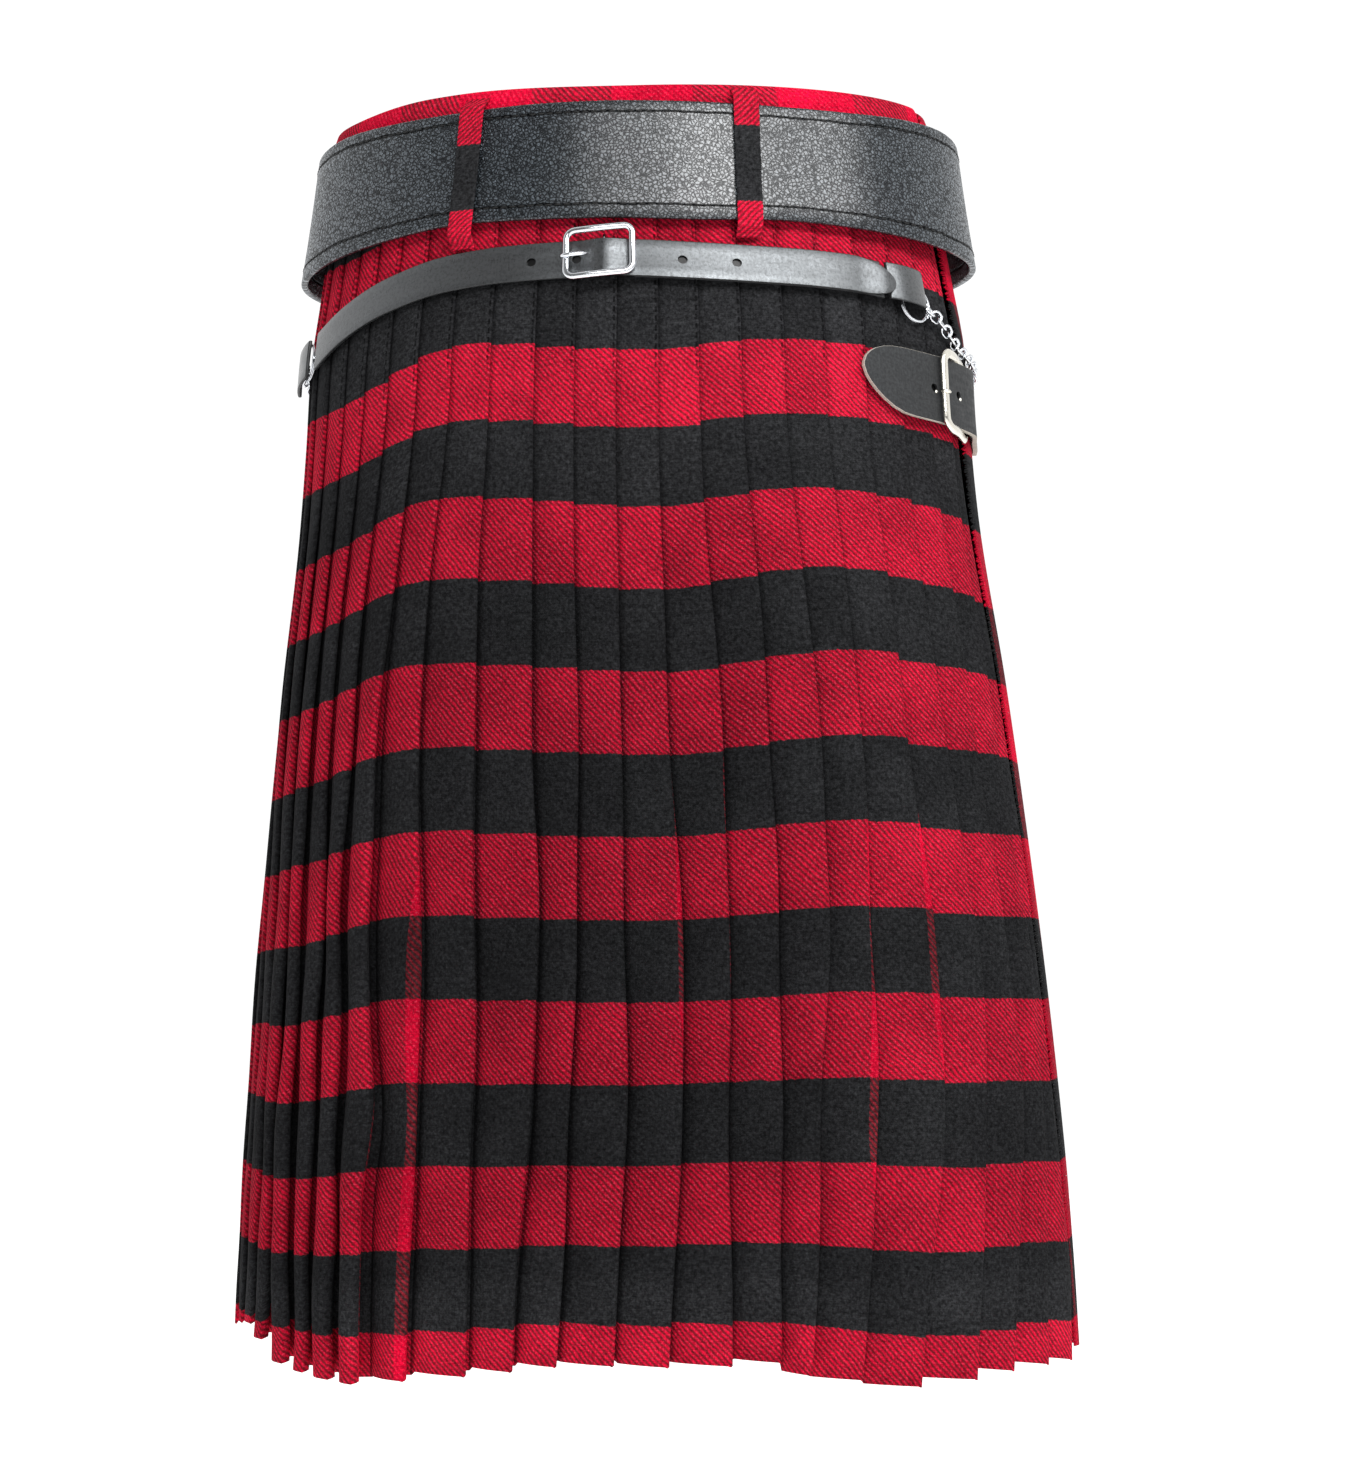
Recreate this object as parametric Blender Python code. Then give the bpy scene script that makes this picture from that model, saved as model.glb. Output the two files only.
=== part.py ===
"""Scottish kilt in its worn, hollow form, with its belt, sporran strap and hip strap.

Sizes below are in millimetres, and MM turns them into Blender's metres.  +Z is up, -Y is the
pleated back and +X is the wearer's right.  The origin is the centre of the waist opening, level
with the top edge.

A place on the cloth is given by its depth below the top edge, its angle round the body and its
height out from the cloth's base line.  The angle is 0 at centre back, +90 at the wearer's right,
180 at centre front and -90 at the wearer's left.
"""
from collections import namedtuple
from math import cos, hypot, pi, radians, sin

import bmesh
import bpy
from mathutils import Vector

MM = 0.001

# ---------------------------------------------------------------- driving sizes

DROP = 610.0                    # length of the cloth, waist to hem
CLOTH = 1.0                     # cloth wall
FOLD_GAP = 0.6                  # air between two layers of a pressed fold
LAYER = CLOTH + FOLD_GAP
PLEAT_RISE = 2 * LAYER          # a pleat's fold stands two layers above its root
FELL = 145.0                    # pleats are stitched flat down to this depth
HIDDEN_SHARE = 0.65             # folded-under depth of a pleat, as a share of its face
FACE_STEP = 3.0                 # a face's hem is this much higher at its root than at its fold
HEM_EASE_START = 470.0          # below this depth the cloth eases to each pleat's own hem level

# One row per ring of the base line: the cloth runs straight between two of them.
Section = namedtuple("Section", "depth half_width back front shift")
SECTIONS = (
    Section(0.0, 145.0, 98.5, 96.0, -1.6),
    Section(45.0, 151.0, 102.0, 100.5, -1.4),
    Section(80.0, 156.5, 107.0, 104.5, -1.2),
    Section(115.0, 162.0, 115.5, 108.5, -1.2),
    Section(160.0, 164.5, 124.0, 113.0, -1.8),
    Section(210.0, 168.5, 130.0, 117.0, -1.8),
    Section(280.0, 177.5, 135.5, 122.3, -1.0),
    Section(350.0, 185.0, 139.8, 126.8, -0.4),
    Section(430.0, 192.8, 144.0, 131.8, 0.0),
    Section(510.0, 199.3, 147.3, 136.0, 0.0),
    Section(570.0, 202.5, 149.0, 138.0, 0.0),
    Section(610.0, 203.8, 149.8, 138.8, 0.0),
)
CLOTH_ROWS = [row.depth for row in SECTIONS]

# One row per pleat: the angle of its fold at four depths, how far the fold stands off at the
# hem, and the depth that its fold reaches at the hem.
Pleat = namedtuple("Pleat", "fell thigh knee hem lift reach")
PLEAT_DEPTHS = (FELL, 300.0, 460.0, DROP)
PLEATS = (
    Pleat(-91.0, -88.5, -84.0, -83.0, 0.0, 590.0),
    Pleat(-82.0, -80.5, -74.5, -74.5, 1.0, 589.0),
    Pleat(-73.3, -72.4, -66.5, -66.7, 3.0, 589.0),
    Pleat(-64.8, -65.0, -60.2, -60.2, 6.0, 596.0),
    Pleat(-57.4, -58.6, -55.0, -54.2, 8.0, 607.0),
    Pleat(-50.6, -52.2, -49.4, -49.0, 7.0, 611.0),
    Pleat(-43.9, -46.2, -43.8, -43.2, 9.0, 614.0),
    Pleat(-36.9, -38.8, -38.2, -38.0, 11.0, 616.0),
    Pleat(-29.6, -31.2, -29.9, -31.0, 4.0, 615.0),
    Pleat(-21.9, -22.2, -21.0, -22.3, 3.0, 613.0),
    Pleat(-13.9, -13.0, -12.6, -15.6, 4.0, 611.0),
    Pleat(-7.0, -6.6, -7.0, -9.8, 3.0, 609.0),
    Pleat(0.0, 0.0, 0.0, -2.4, 3.0, 609.0),
    Pleat(7.0, 7.2, 7.4, 4.9, 4.0, 610.0),
    Pleat(13.8, 14.6, 14.0, 12.6, 5.0, 610.0),
    Pleat(21.1, 22.0, 20.6, 19.3, 4.0, 609.0),
    Pleat(28.8, 29.2, 27.2, 22.9, 7.0, 615.0),
    Pleat(36.8, 36.2, 35.0, 30.0, 5.0, 618.0),
    Pleat(45.3, 45.4, 45.6, 39.0, 6.0, 622.0),
    Pleat(54.2, 53.9, 55.6, 48.9, 4.0, 620.0),
    Pleat(62.6, 62.6, 64.2, 57.0, 4.0, 617.0),
    Pleat(70.8, 70.2, 71.6, 65.6, 5.0, 615.0),
    Pleat(79.0, 78.0, 80.0, 75.0, 1.2, 614.0),
    Pleat(87.0, 86.5, 88.0, 84.5, 1.0, 612.0),
)
PLEATS_START = -97.0            # where the over apron runs into the first pleat
PLEATS_TAIL = 2.0               # the cloth runs on this far past the last fold

# the aprons
APRON_EDGE_TOP = 79.0           # angle of the over apron's free edge at the waist
APRON_EDGE_SWING = 3.0          # the edge hangs this many degrees further forward at the hem
APRON_OUT = 0.9                 # the over apron's height above the base line
APRON_STEP = 1.0 / 26           # one column of the over apron, as a share of its width
APRON_SIDE = 0.78               # from this share on it rises to meet the first pleat
TUCK = 6.5                      # what lies under the over apron sits this much further in
TUCK_RUN = 13.0                 # degrees over which it goes in
TUCK_LEAD = 14.0                # it starts this many degrees before the edge
UNDER_APRON_END = 250.0         # the under apron ends at the wearer's left front
UNDER_APRON_DROP = 604.0
FRONT_DROP = 608.0
FRINGE_WIDTH = 8.0
FRINGE_TOP = 42.0
SEAM = 0.4                      # gap between two pieces that are sewn together

# the waistband and the belt loops
BAND_HEIGHT = 38.0
BAND_PROUD = 1.0                # the band stands this far above the pleats' top edge
BAND_RISE = 2.2                 # and this much more between centre back and the left side
BAND = 1.2
BAND_OUT = 4.8
LOOP_WIDTH = 11.5

# the wide belt
BELT = 3.4
BELT_PLACES = (0.0, 15.0, 30.0, 45.0, 60.0, 75.0, 95.0, 130.0, 165.0, 180.0)
BELT_TOP_LEFT = (6.9, 6.5, 7.1, 7.3, 7.4, 9.0, 12.0, 18.0, 22.5, 23.0)      # depth of its edges
BELT_TOP_RIGHT = (6.9, 8.3, 9.8, 10.6, 10.4, 11.0, 14.0, 18.5, 22.5, 23.0)
BELT_BOTTOM_LEFT = (65.4, 64.2, 63.4, 66.2, 69.4, 72.4, 74.0, 77.6, 80.8, 81.0)
BELT_BOTTOM_RIGHT = (65.4, 67.2, 67.0, 68.8, 71.4, 74.0, 75.2, 77.8, 80.8, 81.0)
BELT_OUT_LEFT = (7.8, 7.8, 7.9, 8.4, 9.4, 10.6, 11.8, 11.0, 7.8, 7.8)       # its middle line
BELT_OUT_RIGHT = (7.8, 7.8, 7.9, 9.2, 11.4, 13.0, 13.6, 11.6, 7.8, 7.8)
BELT_GAP = 0.35                 # degrees between its two ends at centre front
BUCKLE_PLATE = 3.0

# the narrow strap that carries the sporran chain
STRAP_WIDTH = 18.6
STRAP = 2.0
STRAP_PLACES = (-84.0, -76.0, -67.0, -57.0, -48.7, -43.0, -34.0, -26.0, -18.7, 0.0, 13.5, 24.0,
                35.0, 46.5, 56.0, 62.0)
STRAP_DEPTHS = (121.0, 117.0, 111.6, 103.0, 96.3, 92.7, 88.0, 86.0, 85.2, 85.4, 87.7, 89.3,
                90.4, 92.0, 94.8, 96.2)     # of its middle line
STRAP_LOW_OUT = 5.3             # middle line of the layer that lies on the cloth
STRAP_HIGH_OUT = STRAP_LOW_OUT + STRAP + 0.4
STRAP_TIP = 52.0                # angle of the long strap's point
STRAP_BUCKLE = -2.5             # angle of the middle of its buckle
STRAP_BUCKLE_DEPTH = 82.6
STRAP_BUCKLE_WIDTH = 33.7
STRAP_BUCKLE_HEIGHT = 26.3
STRAP_BUCKLE_TILT = 2.4         # its right side sits this much higher than its left
BUCKLE_WIRE = 1.65              # radius of the buckle's bars
END_RIGHT = (50.9, 60.6)        # angles of the strap's folded ends
END_LEFT = (-83.5, -72.2)
SPLIT_RING = 17.6
RING_WIRE = 0.9
RING_OUT = 5.0
CHAIN_RADIUS = 2.5
CHAIN_FRONT_OUT = 6.6

# the hip strap on the wearer's right
SIDE_STRAP_WIDTH = 33.0
SIDE_STRAP = 2.4
SIDE_BUCKLE_BAR = 1.9
SIDE_BUCKLE_HEIGHT = 42.0

Finish = namedtuple("Finish", "red green blue roughness metallic")
FINISHES = {
    "tartan": Finish(0.42, 0.012, 0.025, 0.9, 0.0),
    "fringe": Finish(0.60, 0.02, 0.03, 0.9, 0.0),
    "belt_leather": Finish(0.025, 0.027, 0.03, 0.5, 0.0),
    "strap_leather": Finish(0.02, 0.02, 0.022, 0.4, 0.0),
    "chrome": Finish(0.8, 0.8, 0.82, 0.15, 1.0),
    "nickel": Finish(0.72, 0.7, 0.65, 0.3, 1.0),
}


# ---------------------------------------------------------------- the body's form

def smooth_value(places, values, at):
    """Value at a place on the smooth curve through the given values."""
    if at <= places[0]:
        return values[0]
    if at >= places[-1]:
        return values[-1]
    k = max(i for i, place in enumerate(places) if place <= at)

    def slope(i):
        before, after = max(i - 1, 0), min(i + 1, len(places) - 1)
        return (values[after] - values[before]) / (places[after] - places[before])

    run = places[k + 1] - places[k]
    t = (at - places[k]) / run
    return (values[k] * (2 * t**3 - 3 * t**2 + 1) + values[k + 1] * (3 * t**2 - 2 * t**3)
            + run * slope(k) * (t**3 - 2 * t**2 + t) + run * slope(k + 1) * (t**3 - t**2))


def ease(start, end, at):
    """0 before start, 1 after end, and a smooth step between them."""
    t = min(max((at - start) / (end - start), 0.0), 1.0)
    return t * t * (3 - 2 * t)


def section(depth):
    """Half width, back reach, front reach and sideways shift of the base line at a depth."""
    k = sum(1 for row in SECTIONS[1:-1] if row.depth <= depth)
    above, below = SECTIONS[k], SECTIONS[k + 1]
    share = (depth - above.depth) / (below.depth - above.depth)
    return [a + (b - a) * share for a, b in zip(above[1:], below[1:])]


def place(depth, angle, out=0.0, drop=0.0):
    """Point at a depth and an angle, moved out from the base line and down by a drop."""
    half_width, back, front, shift = section(depth)
    turn = radians(angle)
    reach = back if cos(turn) > 0 else front
    normal = Vector((sin(turn) / half_width, -cos(turn) / reach, 0)).normalized()
    point = Vector((shift + half_width * sin(turn), -reach * cos(turn), -depth - drop))
    return point + out * normal


def degrees_for(length, depth, angle):
    """Angle that a length covers round the body."""
    half_width, back, front, _ = section(depth)
    turn = radians(angle)
    reach = back if cos(turn) > 0 else front
    return length / hypot(half_width * cos(turn), reach * sin(turn)) * 180 / pi


def apron_edge(depth):
    """Angle of the over apron's free edge."""
    return APRON_EDGE_TOP + APRON_EDGE_SWING * ease(0.0, DROP, depth)


def tuck(depth, angle):
    """How far the cloth is pressed in where the over apron covers it."""
    start = apron_edge(depth) - TUCK_LEAD
    return -TUCK * ease(start, start + TUCK_RUN, angle)


def spread(start, end, step):
    """Evenly spaced values from start to end, about a step apart."""
    count = max(1, round(abs(end - start) / step))
    return [start + (end - start) * i / count for i in range(count + 1)]


# ---------------------------------------------------------------- making solids

def clear_scene():
    for thing in list(bpy.data.objects):
        bpy.data.objects.remove(thing, do_unlink=True)


def material(name):
    finish = FINISHES[name]
    surface = bpy.data.materials.get(name) or bpy.data.materials.new(name)
    surface.use_nodes = True
    shader = surface.node_tree.nodes["Principled BSDF"]
    shader.inputs["Base Color"].default_value = (finish.red, finish.green, finish.blue, 1)
    shader.inputs["Roughness"].default_value = finish.roughness
    shader.inputs["Metallic"].default_value = finish.metallic
    return surface


def add_object(name, data, finish):
    thing = bpy.data.objects.new(name, data)
    bpy.context.scene.collection.objects.link(thing)
    data.materials.append(material(finish))
    return thing


def wall(name, columns, thickness, finish):
    """Wall round a grid of middle points, given as columns that run from top to bottom."""
    bm = bmesh.new()
    grid = [[bm.verts.new(point * MM) for point in column] for column in columns]
    for left, right in zip(grid, grid[1:]):
        for k in range(len(left) - 1):
            bm.faces.new((left[k], left[k + 1], right[k + 1], right[k]))
    mesh = bpy.data.meshes.new(name)
    bm.to_mesh(mesh)
    bm.free()
    thing = add_object(name, mesh, finish)
    solid = thing.modifiers.new("wall", "SOLIDIFY")
    solid.thickness = thickness * MM
    solid.offset = 0.0
    solid.use_even_offset = True
    return thing


def wire(name, points, radius, finish, closed=False):
    """Round wire through a row of points."""
    curve = bpy.data.curves.new(name, "CURVE")
    curve.dimensions = "3D"
    curve.bevel_depth = radius * MM
    curve.bevel_resolution = 2
    curve.use_fill_caps = True
    spline = curve.splines.new("POLY")
    spline.points.add(len(points) - 1)
    for knot, point in zip(spline.points, points):
        knot.co = (*(point * MM), 1)
    spline.use_cyclic_u = closed
    return add_object(name, curve, finish)


def rounded_frame(place_at, width, height, corner, steps=4):
    """Closed row of points round a frame with rounded corners.

    place_at turns a place across and down the frame into a point.
    """
    points = []
    centres = ((1, -1, 270), (1, 1, 0), (-1, 1, 90), (-1, -1, 180))
    for side, level, start in centres:
        for i in range(steps + 1):
            turn = radians(start + 90 * i / steps)
            across = side * (width / 2 - corner) + corner * cos(turn)
            down = level * (height / 2 - corner) + corner * sin(turn)
            points.append(place_at(across, down))
    return points


# ---------------------------------------------------------------- cloth

def fold_angle(pleat, depth):
    return smooth_value(PLEAT_DEPTHS, (pleat.fell, pleat.thigh, pleat.knee, pleat.hem), depth)


def hem_ease(depth):
    """Share of a pleat's own hem level that is reached at a depth."""
    return max(0.0, (depth - HEM_EASE_START) / (DROP - HEM_EASE_START)) ** 2


def pleat_line(depth):
    """Middle line of the pleated cloth at one depth, as points from left to right."""
    line = []

    def add(angle, out, reach):
        drop = (reach - DROP) * hem_ease(depth)
        line.append(place(depth, angle, out + tuck(depth, angle), drop))

    root_angle = PLEATS_START
    root_out = PLEAT_RISE
    add(root_angle, root_out, PLEATS[0].reach)
    for pleat in PLEATS:
        fold = fold_angle(pleat, depth)
        lift = pleat.lift * ease(FELL - 20, DROP, depth)
        crease = fold - HIDDEN_SHARE * (fold - root_angle)
        crease_out = root_out + (PLEAT_RISE - root_out) * (1 - HIDDEN_SHARE) - LAYER
        face_out = root_out + (PLEAT_RISE + lift - root_out) * (1 - HIDDEN_SHARE)
        add(crease, face_out, pleat.reach - FACE_STEP * HIDDEN_SHARE)
        add(fold, PLEAT_RISE + lift, pleat.reach)
        add(fold, PLEAT_RISE + lift - LAYER, pleat.reach)
        add(crease, crease_out, pleat.reach - FACE_STEP)
        add(crease, crease_out - LAYER, pleat.reach - FACE_STEP)
        add(fold, 0.0, pleat.reach - FACE_STEP)
        root_angle, root_out = fold, 0.0
    add(root_angle + degrees_for(PLEATS_TAIL, depth, root_angle), 0.0, PLEATS[-1].reach - FACE_STEP)
    return line


def make_pleats():
    lines = [pleat_line(depth) for depth in CLOTH_ROWS]
    columns = [list(column) for column in zip(*lines)]
    return wall("pleats", columns, CLOTH, "tartan")


def apron_place(share, depth, above=0.0):
    """Point of the over apron, or of what lies above it, at a share of the way round."""
    end = 360.0 + PLEATS_START
    start = apron_edge(depth)
    last = end - degrees_for(SEAM, depth, end)
    side = ease(APRON_SIDE, 1.0, share)
    out = APRON_OUT + (PLEAT_RISE - APRON_OUT) * side + above
    reach = FRONT_DROP + (PLEATS[0].reach - FRONT_DROP) * side
    drop = (reach - DROP) * hem_ease(depth)
    return place(depth, start + (last - start) * share, out, drop)


def make_over_apron():
    """From its free edge at the right hip, round the front, to the first pleat."""
    columns = [[apron_place(share, depth) for depth in CLOTH_ROWS]
               for share in spread(0.0, 1.0, APRON_STEP)]
    return wall("over_apron", columns, CLOTH, "tartan")


def make_under_apron():
    """From the last pleat, round the front under the over apron."""
    columns = []
    for share in spread(0.0, 1.0, 1.0 / 20):
        column = []
        for depth in CLOTH_ROWS:
            fold = fold_angle(PLEATS[-1], depth)
            start = fold + degrees_for(PLEATS_TAIL + SEAM, depth, fold)
            first_reach = PLEATS[-1].reach - FACE_STEP
            reach = first_reach + (UNDER_APRON_DROP - first_reach) * ease(0.0, 0.2, share)
            drop = (reach - DROP) * hem_ease(depth)
            angle = start + (UNDER_APRON_END - start) * share
            column.append(place(depth, angle, tuck(depth, angle), drop))
        columns.append(column)
    return wall("under_apron", columns, CLOTH, "tartan")


def make_apron_fringe():
    columns = []
    rows = [FRINGE_TOP] + CLOTH_ROWS[2:]
    for away in (SEAM + FRINGE_WIDTH, SEAM + FRINGE_WIDTH / 2, SEAM):
        column = []
        for depth in rows:
            edge = apron_edge(depth)
            drop = (FRONT_DROP - DROP) * hem_ease(depth)
            angle = edge - degrees_for(away, depth, edge)
            column.append(place(depth, angle, APRON_OUT, drop))
        columns.append(column)
    return wall("apron_fringe", columns, CLOTH, "fringe")


def make_waistband():
    """The band round the top edge: a stretch on the pleats and one on the over apron."""
    def band_top(angle):
        """The band's top edge, which rides up a little left of centre back."""
        return -BAND_PROUD - BAND_RISE * ease(-65.0, -38.0, angle) * (1 - ease(-30.0, 5.0, angle))

    tuck_start = APRON_EDGE_TOP - TUCK_LEAD
    tuck_end = tuck_start + TUCK_RUN
    angles = (spread(PLEATS_START, tuck_start, 4.0)[:-1] + spread(tuck_start, tuck_end, 2.0)
              + spread(tuck_end, PLEATS[-1].fell, 4.0)[1:])
    back = [[place(depth, angle, BAND_OUT + tuck(depth, angle))
             for depth in (band_top(angle), BAND_HEIGHT)]
            for angle in angles]
    wall("waistband_back", back, BAND, "tartan")
    front = [[apron_place(share, depth, BAND_OUT - PLEAT_RISE)
              for depth in (-BAND_PROUD, BAND_HEIGHT)]
             for share in spread(0.0, 1.0, APRON_STEP)]
    wall("waistband_front", front, BAND, "tartan")


# One row per bend of a belt loop: depth and height out from the base line.
Bend = namedtuple("Bend", "depth out")
LOOP_BENDS = (
    Bend(1.6, 6.6),
    Bend(3.6, 8.2),
    Bend(4.9, 11.0),
    Bend(30.0, 11.3),
    Bend(67.8, 11.3),
    Bend(70.6, 9.6),
    Bend(73.4, 5.6),
    Bend(75.4, 4.9),
)


def make_belt_loop(name, top_angle, bottom_angle):
    columns = []
    for side in (-0.5, 0.0, 0.5):
        column = []
        for bend in LOOP_BENDS:
            share = bend.depth / LOOP_BENDS[-1].depth
            middle = top_angle + (bottom_angle - top_angle) * share
            angle = middle + side * degrees_for(LOOP_WIDTH, bend.depth, middle)
            column.append(place(bend.depth, angle, bend.out))
        columns.append(column)
    return wall(name, columns, CLOTH, "tartan")


# ---------------------------------------------------------------- belt

def belt_value(angle, left, right):
    return smooth_value(BELT_PLACES, left if angle < 0 else right, abs(angle))


def belt_column(angle, out, beyond=0.0):
    """Points from the belt's top edge to its bottom edge."""
    top = belt_value(angle, BELT_TOP_LEFT, BELT_TOP_RIGHT) - beyond
    bottom = belt_value(angle, BELT_BOTTOM_LEFT, BELT_BOTTOM_RIGHT) + beyond
    return [place(top + (bottom - top) * share, angle, out) for share in (0.0, 0.5, 1.0)]


def make_belt():
    columns = [belt_column(angle, belt_value(angle, BELT_OUT_LEFT, BELT_OUT_RIGHT))
               for angle in spread(-180.0 + BELT_GAP, 180.0 - BELT_GAP, 5.0)]
    return wall("belt", columns, BELT, "belt_leather")


def make_belt_buckle():
    """A plain curved plate that closes the belt at centre front."""
    out = BELT_OUT_LEFT[-1] + BELT / 2 + SEAM + BUCKLE_PLATE / 2 + 0.3
    columns = [belt_column(angle if angle < 180.0 else angle - 360.0, out, beyond=1.5)
               for angle in spread(167.0, 193.0, 3.0)]
    return wall("belt_buckle", columns, BUCKLE_PLATE, "chrome")


# ---------------------------------------------------------------- sporran strap and chain

def strap_depth(angle):
    """Depth of the narrow strap's middle line at the back."""
    return smooth_value(STRAP_PLACES, STRAP_DEPTHS, angle)


def strap_columns(angles, out_at, width_at):
    columns = []
    for angle in angles:
        middle = strap_depth(angle)
        half = width_at(angle) / 2
        columns.append([place(middle + half * level, angle, out_at(angle)) for level in (-1, 0, 1)])
    return columns


def make_sporran_strap():
    """The long strap runs from the left end through the buckle, over the short one, to its point."""
    start, hump = -68.8, STRAP_BUCKLE + 0.6

    def long_out(angle):
        over = STRAP_LOW_OUT + (STRAP_HIGH_OUT - STRAP_LOW_OUT) * ease(hump - 5.0, hump, angle)
        bulge = 1.4 * ease(hump - 3.0, hump, angle) * ease(-hump - 3.0, -hump, -angle)
        return over + bulge + 2.4 * ease(45.0, 49.8, angle)

    def long_width(angle):
        away = min(max((STRAP_TIP - angle) / 6.0, 0.0), 1.0)
        return STRAP_WIDTH * (0.12 + 0.88 * (1 - (1 - away) ** 2) ** 0.5)

    angles = (spread(start, -8.0, 6.0) + spread(-6.5, 2.5, 1.0)
              + spread(6.0, 44.0, 6.0) + [STRAP_TIP + step for step in (-6.4, -4.8, -3.2, -1.6, -0.6, 0.0)])
    wall("sporran_strap_long", strap_columns(angles, long_out, long_width), STRAP, "strap_leather")

    short = spread(1.0, END_RIGHT[0] - 0.5, 5.0)
    wall("sporran_strap_short", strap_columns(short, lambda angle: STRAP_LOW_OUT,
                                              lambda angle: STRAP_WIDTH), STRAP, "strap_leather")


def make_strap_end(name, ends, out, thickness):
    """The strap's folded end that holds a split ring."""
    columns = strap_columns(spread(*ends, 3.0), lambda angle: out, lambda angle: STRAP_WIDTH)
    return wall(name, columns, thickness, "strap_leather")


def buckle_place(across, down, out):
    """Point across and down from the middle of the sporran buckle, which sits a little askew."""
    angle = STRAP_BUCKLE + degrees_for(across, STRAP_BUCKLE_DEPTH, STRAP_BUCKLE)
    tilt = STRAP_BUCKLE_TILT * across / STRAP_BUCKLE_WIDTH
    return place(STRAP_BUCKLE_DEPTH + down - tilt, angle, out)


def make_sporran_buckle():
    out = STRAP_HIGH_OUT + STRAP / 2 + BUCKLE_WIRE + 1.8
    width = STRAP_BUCKLE_WIDTH - 2 * BUCKLE_WIRE
    height = STRAP_BUCKLE_HEIGHT - 2 * BUCKLE_WIRE
    points = rounded_frame(lambda across, down: buckle_place(across, down, out), width, height, 3.6)
    return wire("sporran_buckle", points, BUCKLE_WIRE, "chrome", closed=True)


def make_sporran_bar():
    """The bar that the short strap holds."""
    half = STRAP_BUCKLE_HEIGHT / 2 - 2 * BUCKLE_WIRE - SEAM
    bar = [buckle_place(1.6, level * half, STRAP_LOW_OUT + 0.2) for level in (-1, 1)]
    return wire("sporran_buckle_bar", bar, 0.8, "chrome")


def make_sporran_prong():
    """The prong's end, which lies on the frame's left bar."""
    out = STRAP_HIGH_OUT + STRAP / 2 + 2 * BUCKLE_WIRE + 3.4
    left = -STRAP_BUCKLE_WIDTH / 2
    points = [buckle_place(left + across, 0.0, out - fall)
              for across, fall in ((-1.0, 0.0), (2.6, 0.1), (6.4, 0.3))]
    return wire("sporran_prong", points, 1.0, "chrome")


# One row per station of the chain on one side: angle from the back, depth, height out.
Station = namedtuple("Station", "angle depth out")
CHAIN_RIGHT = (
    Station(65.0, 110.2, 7.6),
    Station(68.8, 115.7, 6.2),
    Station(72.1, 119.3, 5.1),
    Station(74.6, 121.3, 4.7),
    Station(80.0, 123.5, 4.7),
    Station(95.0, 128.5, 4.7),
    Station(120.0, 138.0, 6.0),
    Station(150.0, 146.0, 6.6),
    Station(175.2, 150.0, 6.6),
)
CHAIN_LEFT = (
    Station(-87.0, 123.6, 8.0),
    Station(-95.0, 126.5, 7.0),
    Station(-120.0, 137.0, 6.8),
    Station(-150.0, 146.0, 6.6),
    Station(-175.2, 150.0, 6.6),
)


def make_chain(name, stations):
    places = [abs(row.angle) for row in stations]
    side = 1 if stations[0].angle > 0 else -1
    points = []
    for angle in spread(places[0], places[-1], 2.6):
        depth = smooth_value(places, [row.depth for row in stations], angle)
        out = smooth_value(places, [row.out for row in stations], angle)
        points.append(place(depth, side * angle, out))
    return wire(name, points, CHAIN_RADIUS, "chrome")


def make_ring(name, angle, depth, out, radius=SPLIT_RING / 2):
    """Ring that lies against the body."""
    points = []
    for i in range(20):
        turn = 2 * pi * i / 20
        shift = degrees_for(radius * cos(turn), depth, angle)
        points.append(place(depth + radius * sin(turn), angle + shift, out))
    return wire(name, points, RING_WIRE, "chrome", closed=True)


# ---------------------------------------------------------------- hip strap

# One row per station of the hip strap: angle, depth of its middle, height out, share of width.
StrapStation = namedtuple("StrapStation", "angle depth out width")
SIDE_STRAP_STATIONS = (
    StrapStation(43.9, 137.6, 5.9, 0.16),
    StrapStation(44.4, 138.0, 5.9, 0.40),
    StrapStation(46.0, 139.0, 5.9, 0.66),
    StrapStation(48.6, 140.6, 5.9, 0.87),
    StrapStation(52.0, 142.4, 6.0, 1.0),
    StrapStation(55.5, 143.8, 7.0, 1.0),
    StrapStation(60.0, 144.7, 7.3, 1.0),
    StrapStation(64.0, 145.2, 7.3, 1.0),
    StrapStation(68.0, 145.7, 7.1, 1.0),
    StrapStation(72.0, 146.3, 7.0, 1.0),
    StrapStation(75.0, 146.8, 7.4, 1.0),
    StrapStation(78.0, 147.3, 7.3, 1.0),
    StrapStation(81.0, 147.8, 5.6, 1.0),
    StrapStation(84.0, 148.3, 4.0, 1.0),
    StrapStation(88.0, 149.0, 3.2, 1.0),
    StrapStation(96.0, 150.4, 3.1, 1.0),
)
SIDE_FRAME_LEFT = 63.3          # angles of the frame's two upright bars
SIDE_FRAME_RIGHT = 76.6


def side_strap_depth(angle):
    rows = SIDE_STRAP_STATIONS
    return smooth_value([row.angle for row in rows], [row.depth for row in rows], angle)


def make_side_strap():
    columns = []
    for row in SIDE_STRAP_STATIONS:
        half = SIDE_STRAP_WIDTH * row.width / 2
        columns.append([place(row.depth + half * level, row.angle, row.out) for level in (-1, 0, 1)])
    return wall("side_strap", columns, SIDE_STRAP, "strap_leather")


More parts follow.
